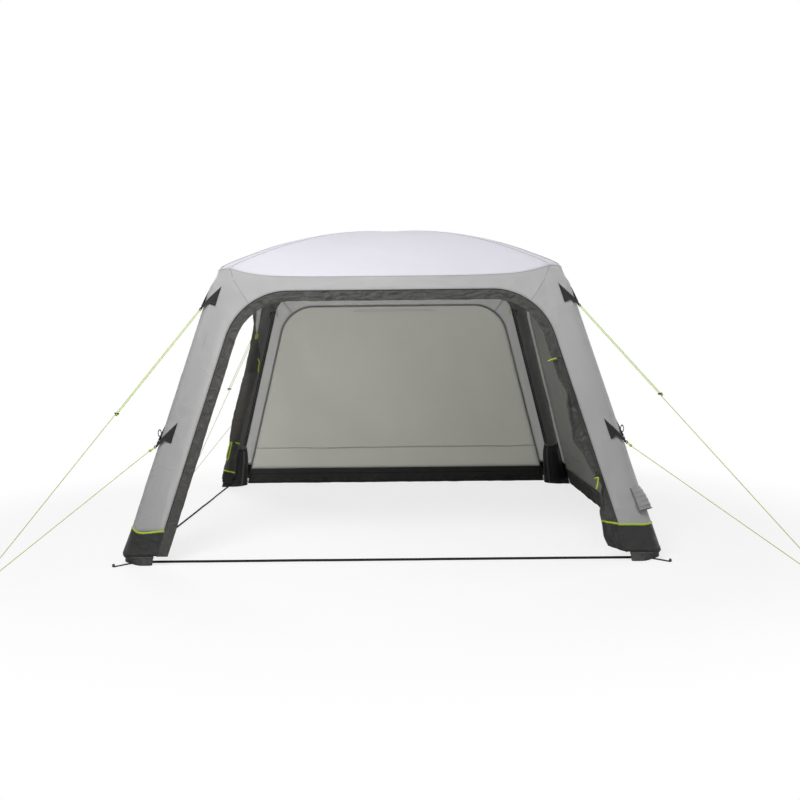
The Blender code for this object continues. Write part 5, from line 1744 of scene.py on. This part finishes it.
def add_crown_cover(end):
    """Dark cloth over the crossing of the beams."""
    parts = []
    middle_z = EAVES_HEIGHT + ROOF_RISE - STRIP_RADIUS - 0.002
    for quarter in range(2):
        line = []
        for i in range(33):
            share = -1 + i / 16
            height = end.y + (middle_z - end.y) * (1 - share**2)
            line.append(quarters(quarter) @ corner_point(end.x * 1.06 * share, 0, height))
        parts.append(tube_mesh(line, SLEEVE_RADIUS + 0.0014, 28, closed=False))
    add_piece("crown_cover", join_meshes(parts), SLEEVE_CLOTH, replaced=["air_beam_crown"])


# Tie-outs.


def tip_point(z):
    """Where a tie-out's two wings meet, out from the corner."""
    return corner_point(chamfer_reach(z) + TIP_REACH, 0, z)


def rope_direction(corner, tip_z):
    """Unit vector from the tie-out's tip to the ground."""
    peg = corner_point(PEG_REACH[corner] * math.sqrt(2), 0, 0)
    return (peg - tip_point(tip_z)).normalized()


def tab_hole(corner, tip_z):
    """Centre of the rope hole in the tie-out's tab."""
    return tip_point(tip_z) + rope_direction(corner, tip_z) * (TAB_LENGTH / 2)


def wing_mesh(level, tip_z, sign):
    """One wing of the folded webbing, from its crease to the tip, notched below, and its hems."""
    crease = CHAMFER / math.sqrt(2)
    high = tip_z + WING_HEIGHT
    low = tip_z + WING_FOOT
    lift = WING_LIFT[level]
    tip = tip_point(tip_z)
    a = corner_point(chamfer_reach(high) + lift, sign * crease, high)
    b = corner_point(chamfer_reach(low) + lift, sign * crease, low)
    notch = b.lerp(tip, NOTCH_SHARE) + upward(NOTCH_RISE)
    out = (OUTWARD + ACROSS * sign).normalized()
    facing = OUTWARD + ACROSS * sign * 0.6

    def place(u, v):
        if u <= NOTCH_SHARE:
            below = b.lerp(notch, u / NOTCH_SHARE)
        else:
            below = notch.lerp(tip, (u - NOTCH_SHARE) / (1 - NOTCH_SHARE))
        spot = below.lerp(a.lerp(tip + upward(TIP_LINE), u), v)
        return spot + out * (0.0012 * math.sin(u * math.pi) * math.sin(v * math.pi))

    bm = lay_grid(18, 14, place, (0.10, WING_HEIGHT))
    face_towards(bm, facing)
    hems = []
    for v in (0.06, 0.94):
        line = [place(i / 24, v) for i in range(1, 24)]
        hems.append(ribbon(line, [facing.normalized()] * 23, "wing_hem"))
    return bm, hems


def add_tie_outs():
    """Webbing folded round each corner, with its tab, its stitched hems and a small ring."""
    for turn, corner in enumerate(CORNERS):
        for level, tip_z in TIP_HEIGHTS.items():
            name = "%s_%s" % (level, corner)
            wings = []
            hems = []
            for sign in (-1, 1):
                wing, hem = wing_mesh(level, tip_z, sign)
                wings.append(wing)
                hems += hem
            whole = shoulder_mesh(join_meshes(wings))
            bmesh.ops.remove_doubles(whole, verts=whole.verts, dist=GAP)
            add_piece("tie_out_cloth_" + name, whole, WEBBING_TAPE, wall=WEBBING, turn=turn,
                      replaced=["tie_out_" + name])
            add_piece("tie_out_hem_" + name, shoulder_mesh(join_meshes(hems)), DARK_SEAM,
                      turn=turn)
            along = rope_direction(corner, tip_z)
            hole = tab_hole(corner, tip_z)
            axis = ACROSS.cross(along).normalized()
            tab = ring_mesh(0.0056, 0.0022, hole, ACROSS, (1.0, 1.3))
            add_piece("tie_out_tab_" + name, tab, WEBBING_TAPE, turn=turn)
            bar = rounded_box((0.016, 0.0045, 0.013), hole - along * 0.012, (along, ACROSS, axis), 0.0012)
            add_piece("tie_out_bar_" + name, bar, WEBBING_TAPE, turn=turn)
            if level == "lower":
                spot = tip_point(tip_z) + upward(WING_HEIGHT * 0.55) - OUTWARD * 0.022
                ring = ring_mesh(0.010, 0.0022, spot, ACROSS, (1.0, 1.9))
                add_piece("tie_out_ring_" + corner, ring, BLACK_PLASTIC, turn=turn)


# Guy ropes.


def rope_route(corner, tip_z, doubled):
    """Route of a guy rope as points, from its tail round the tie-out's eye to the peg eye."""
    start = tab_hole(corner, tip_z)
    along = rope_direction(corner, tip_z)
    total = (start.z - END_HEIGHT["upper" if doubled else "lower"]) / -along.z
    half_turn = [math.pi * i / 6 for i in range(7)]
    main = -EYE_RADIUS
    beside = main + KNOT_PITCH
    if doubled:
        runner = RUNNER_PLACE[corner]
        route = [(runner + KNOT_PAST_RUNNER, EYE_RADIUS), (runner / 2, EYE_RADIUS)]
    else:
        route = [(EYE_LENGTH, beside), (EYE_LENGTH * 0.8, beside), (EYE_LENGTH * 0.5, EYE_RADIUS * 0.6)]
    route.append((EYE_RADIUS * 1.6, EYE_RADIUS))
    route += [(EYE_RADIUS - EYE_RADIUS * math.sin(a), EYE_RADIUS * math.cos(a)) for a in half_turn]
    close = total - PEG_EYE_LENGTH
    route += [(EYE_RADIUS * 1.6, main), (total / 2, main), (close, main)]
    turn_start = total - PEG_EYE_RADIUS
    middle = main + PEG_EYE_RADIUS
    for angle in half_turn:
        reach = turn_start + PEG_EYE_RADIUS * math.sin(angle)
        route.append((reach, middle - PEG_EYE_RADIUS * math.cos(angle)))
    route.append((close + PEG_EYE_LENGTH * 0.45, middle + PEG_EYE_RADIUS * 0.35))
    route += [(close + PEG_EYE_LENGTH * 0.15, beside), (close, beside)]
    return [start + along * reach + ACROSS * offset for reach, offset in route], total


def knot_mesh(centre, along, width):
    """Three turns of rope wound round the strands."""
    parts = []
    for i in (-1, 0, 1):
        tilt = (along + ACROSS * 0.22 * i).normalized()
        parts.append(ring_mesh(width, 0.0021, centre + along * (0.0040 * i), tilt, steps=20, sides=8))
    return join_meshes(parts)


def add_ropes():
    """Eight taut guy ropes with their knots, the upper ones doubled back to a knot past their runners."""
    for turn, corner in enumerate(CORNERS):
        for level, tip_z in TIP_HEIGHTS.items():
            doubled = level == "upper"
            name = "%s_%s" % (level, corner)
            route, total = rope_route(corner, tip_z, doubled)
            line = [quarters(turn) @ p for p in route]
            rope = add_piece("guy_rope_" + name + "_braid", tube_mesh(line, ROPE_DIAMETER / 2, 10),
                             ROPE_BRAID, replaced=["guy_rope_" + name])
            along = rope_direction(corner, tip_z)
            hole = tab_hole(corner, tip_z)
            pair = hole + ACROSS * (KNOT_PITCH / 2 - EYE_RADIUS)
            knots = [knot_mesh(pair + along * (total - PEG_EYE_LENGTH + 0.004), along, KNOT_WIDTH)]
            if doubled:
                tail = hole + along * (RUNNER_PLACE[corner] + KNOT_PAST_RUNNER - 0.003)
                knots.append(knot_mesh(tail + ACROSS * EYE_RADIUS, along, TAIL_KNOT_WIDTH))
                exit_point = line[0]
            else:
                knots.append(knot_mesh(pair + along * (EYE_LENGTH - 0.008), along, KNOT_WIDTH))
                exit_point = quarters(turn) @ (hole + along * 0.0145)
            knot = add_piece("guy_knots_" + name, join_meshes(knots), ROPE_BRAID, turn=turn)
            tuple(exit_point)
            line_length(line)


# Valve hood, toggles and pullers.


def add_hood():
    """Ribbed cloth hood over the valve, bound along its edge."""
    seat = corner_point(leg_axis_reach(HOOD_TOP), 0, HOOD_TOP)
    radius = STRIP_RADIUS + GAP + CLOTH * 1.5

    def hood_spot(u, v):
        share = 2 * u - 1
        angle = share * math.radians(HOOD_ANGLE)
        bulge = math.sqrt(max(1 - share**2, 0.0)) * math.sin(v * math.pi / 2) ** 0.8
        ribs = 0.0016 * math.cos(v * math.pi * 10) * min(1.0, (1 - abs(share)) * 5) * min(1.0, v * 6)
        away = radius * math.cos(angle) + HOOD_RISE * bulge + max(ribs, -0.0010)
        return seat + ACROSS * (radius * math.sin(angle)) - LEG_UP * (v * HOOD_LENGTH) + LEG_OUT * away

    bm = lay_grid(32, 48, hood_spot)
    face_towards(bm, LEG_OUT)
    area = min(mesh_area(bm), HOOD_CUT[0] * HOOD_CUT[1])
    piece = add_piece("hood_cloth", bm, HOOD_CLOTH, "hood_body", CLOTH, 1, ["valve_hood"])
    line = [hood_spot(0.02, i / 24) for i in range(25)] + [hood_spot(i / 24, 0.985) for i in range(1, 24)]
    line += [hood_spot(0.98, 1 - i / 24) for i in range(25)]
    outs = []
    for spot in line:
        away = spot - seat
        outs.append((away - LEG_UP * away.dot(LEG_UP)).normalized())
    binding = ribbon([spot + out * 0.0003 for spot, out in zip(line, outs)], outs, "hood_binding")
    add_piece("hood_binding", binding, GREY_TAPE, "hood_body", turn=1)


# Loops round the bunched trims: side, height, width and how far they stand out.
TIE_LOOPS = (("front", 1.135, 0.048, 0.016), ("front", 0.462, 0.040, 0.016))
# Cords of the ties, in the side's own frame as x, z and how far they stand out.
TIE_CORDS = (
    ("front", ((0.930, 1.119, 0.010), (0.952, 1.127, 0.016), (0.977, 1.133, 0.012))),
    ("front", ((1.163, 0.447, 0.012), (1.172, 0.453, 0.016), (1.182, 0.451, 0.017), (1.178, 0.425, 0.017),
               (1.173, 0.406, 0.018), (1.167, 0.390, 0.017))),
    ("left", ((-0.900, 1.350, -0.034), (-0.892, 1.330, -0.030), (-0.900, 1.306, -0.034),
              (-0.902, 1.328, -0.044), (-0.900, 1.348, -0.040))),
    ("left", ((-0.945, 1.157, -0.084), (-0.945, 1.132, -0.106), (-0.950, 1.095, -0.108),
              (-0.955, 1.054, -0.116))),
    ("left", ((-1.100, 0.434, -0.060), (-1.095, 0.436, -0.078), (-1.100, 0.434, -0.098))),
    ("left", ((-1.105, 0.432, -0.026), (-1.110, 0.370, -0.030), (-1.118, 0.290, -0.030),
              (-1.120, 0.276, -0.024), (-1.115, 0.300, -0.014), (-1.108, 0.380, -0.012),
              (-1.103, 0.430, -0.016))),
)


def add_ties():
    """Loops round the bunched trims and the lime cords of their ties."""
    for number, (side, z, width, proud) in enumerate(TIE_LOOPS):
        middle = Arch(*OPEN_ARCH, GAP).leg_x(z) - width / 2
        points = []
        for i in range(25):
            angle = 2 * math.pi * i / 24
            points.append(front_point(middle + math.cos(angle) * width / 2, z, math.sin(angle) * proud))
        add_piece("tie_loop_%d" % number, tube_mesh(points, 0.0030, 8), WEBBING_TAPE,
                  turn=SIDES.index(side))
    for number, (side, route) in enumerate(TIE_CORDS):
        points = smooth_line([front_point(*place) for place in route], 6)
        add_piece("tie_cord_%d" % number, tube_mesh(points, 0.0046, 10), LIME_TAPE,
                  turn=SIDES.index(side))


def add_pullers():
    """Lime tape loops on the sleeve sliders."""
    seat = corner_point(leg_axis_reach(SLIDER_HEIGHT), 0, SLIDER_HEIGHT)
    for turn, corner in enumerate(CORNERS):
        angle = zip_angle(turn)
        inward = -LEG_OUT * math.cos(angle) + ACROSS * math.sin(angle)
        side = LEG_UP.cross(inward)
        top = seat + inward * (SLEEVE_RADIUS + 0.0125) + LEG_UP * 0.040
        loop = []
        for i in range(25):
            t = math.pi * i / 24
            bow = math.sin(t)
            loop.append(top + side * (0.0075 * math.cos(t)) - upward(0.062 * bow) + inward * (0.003 * bow))
        add_piece("slider_loop_" + corner, ribbon(loop, [inward] * 25, "slider_loop"), LIME_TAPE,
                  "slider_body_" + corner, turn=turn)


def finish_kept_nodes():
    """Finishes of the rigid pieces that stay as they are in the frame."""
    finishes = {"runner_": BLACK_PLASTIC, "sleeve_zip_slider": DARK_METAL, "valve_body": VALVE_PLASTIC,
                "valve_cap": VALVE_PLASTIC, "air_beam": BLADDER_FILM}
    for name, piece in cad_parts.items():
        for start, material in finishes.items():
            if name.startswith(start):
                for item in piece.material_slots:
                    item.material = material


# Stage and light.


def grey(tree, kind, shade, **values):
    """The output of a plain shader of that shade."""
    return node(tree, kind, {"Color": (shade, shade, shade), **values}).outputs[0]


def add_stage():
    """Pale floor that keeps the shadow, and fades to white further out for the camera."""
    bm = bmesh.new()
    bmesh.ops.create_grid(bm, x_segments=1, y_segments=1, size=FLOOR_HALF)
    bmesh.ops.translate(bm, vec=(0, 0, FLOOR_HEIGHT), verts=bm.verts)
    mesh = bpy.data.meshes.new("floor")
    bm.to_mesh(mesh)
    bm.free()
    floor = bpy.data.objects.new("floor", mesh)
    bpy.context.scene.collection.objects.link(floor)
    made = bpy.data.materials.new("pale_floor")
    made.use_nodes = True
    tree = made.node_tree
    tree.nodes.clear()
    out = tree.nodes.new("ShaderNodeOutputMaterial")
    rays = tree.nodes.new("ShaderNodeLightPath")
    plain = grey(tree, "ShaderNodeBsdfDiffuse", FLOOR_SHADE)
    seen = grey(tree, "ShaderNodeBsdfDiffuse", FLOOR_SHADE_SEEN)
    glow = grey(tree, "ShaderNodeEmission", 1.0, Strength=FLOOR_GLOW)
    white = grey(tree, "ShaderNodeEmission", 1.0, Strength=1.0)
    spot = tree.nodes.new("ShaderNodeNewGeometry")
    far = node(tree, "ShaderNodeVectorMath", {"Vector": spot.outputs["Position"]}, operation="LENGTH")
    fade = ranged(tree, far.outputs["Value"], *FLOOR_FADE, interpolation_type="SMOOTHSTEP")
    both = joined_shaders(tree, "ShaderNodeAddShader", seen, glow)
    lit = joined_shaders(tree, "ShaderNodeMixShader", fade, both, white)
    mix = joined_shaders(tree, "ShaderNodeMixShader", rays.outputs["Is Camera Ray"], plain, lit)
    feed(tree, out.inputs["Surface"], mix)
    mesh.materials.append(made)


def add_light():
    """Even daylight studio: a soft surround, a lamp high in front and three that fill in."""
    world = bpy.data.worlds.new("surround")
    bpy.context.scene.world = world
    world.use_nodes = True
    tree = world.node_tree
    back = tree.nodes["Background"]
    rays = tree.nodes.new("ShaderNodeLightPath")
    shiny = math_node(tree, "MULTIPLY", rays.outputs["Is Glossy Ray"], 0.6)
    seen = math_node(tree, "MAXIMUM", rays.outputs["Is Camera Ray"], shiny)
    feed(tree, back.inputs["Strength"], ranged(tree, seen, 0.0, 1.0, SURROUND_LIGHT, 1.0))
    feed(tree, back.inputs["Color"], (1.0, 1.0, 1.0))
    for name, (spot, size, power) in LAMPS.items():
        data = bpy.data.lights.new(name, "AREA")
        data.shape = "DISK"
        data.size = size
        data.energy = power
        lamp = bpy.data.objects.new(name, data)
        bpy.context.scene.collection.objects.link(lamp)
        lamp.location = spot
        lamp.visible_camera = False
        aim = Vector(LAMP_AIM) - Vector(spot)
        lamp.rotation_euler = aim.to_track_quat("-Z", "Y").to_euler()
    bpy.context.scene.view_settings.view_transform = "Standard"


def main():
    """Adds everything in turn."""
    add_camera()
    add_ropes()
    add_facades()
    add_facade_seams()
    add_roof()
    add_trims()
    for side in CLOSED_SIDES:
        add_wall(side)
    add_boots()
    add_bases()
    add_straps()
    add_sleeves()
    add_tie_outs()
    add_hood()
    add_ties()
    add_pullers()
    finish_kept_nodes()
    add_stage()
    add_light()
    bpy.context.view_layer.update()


main()
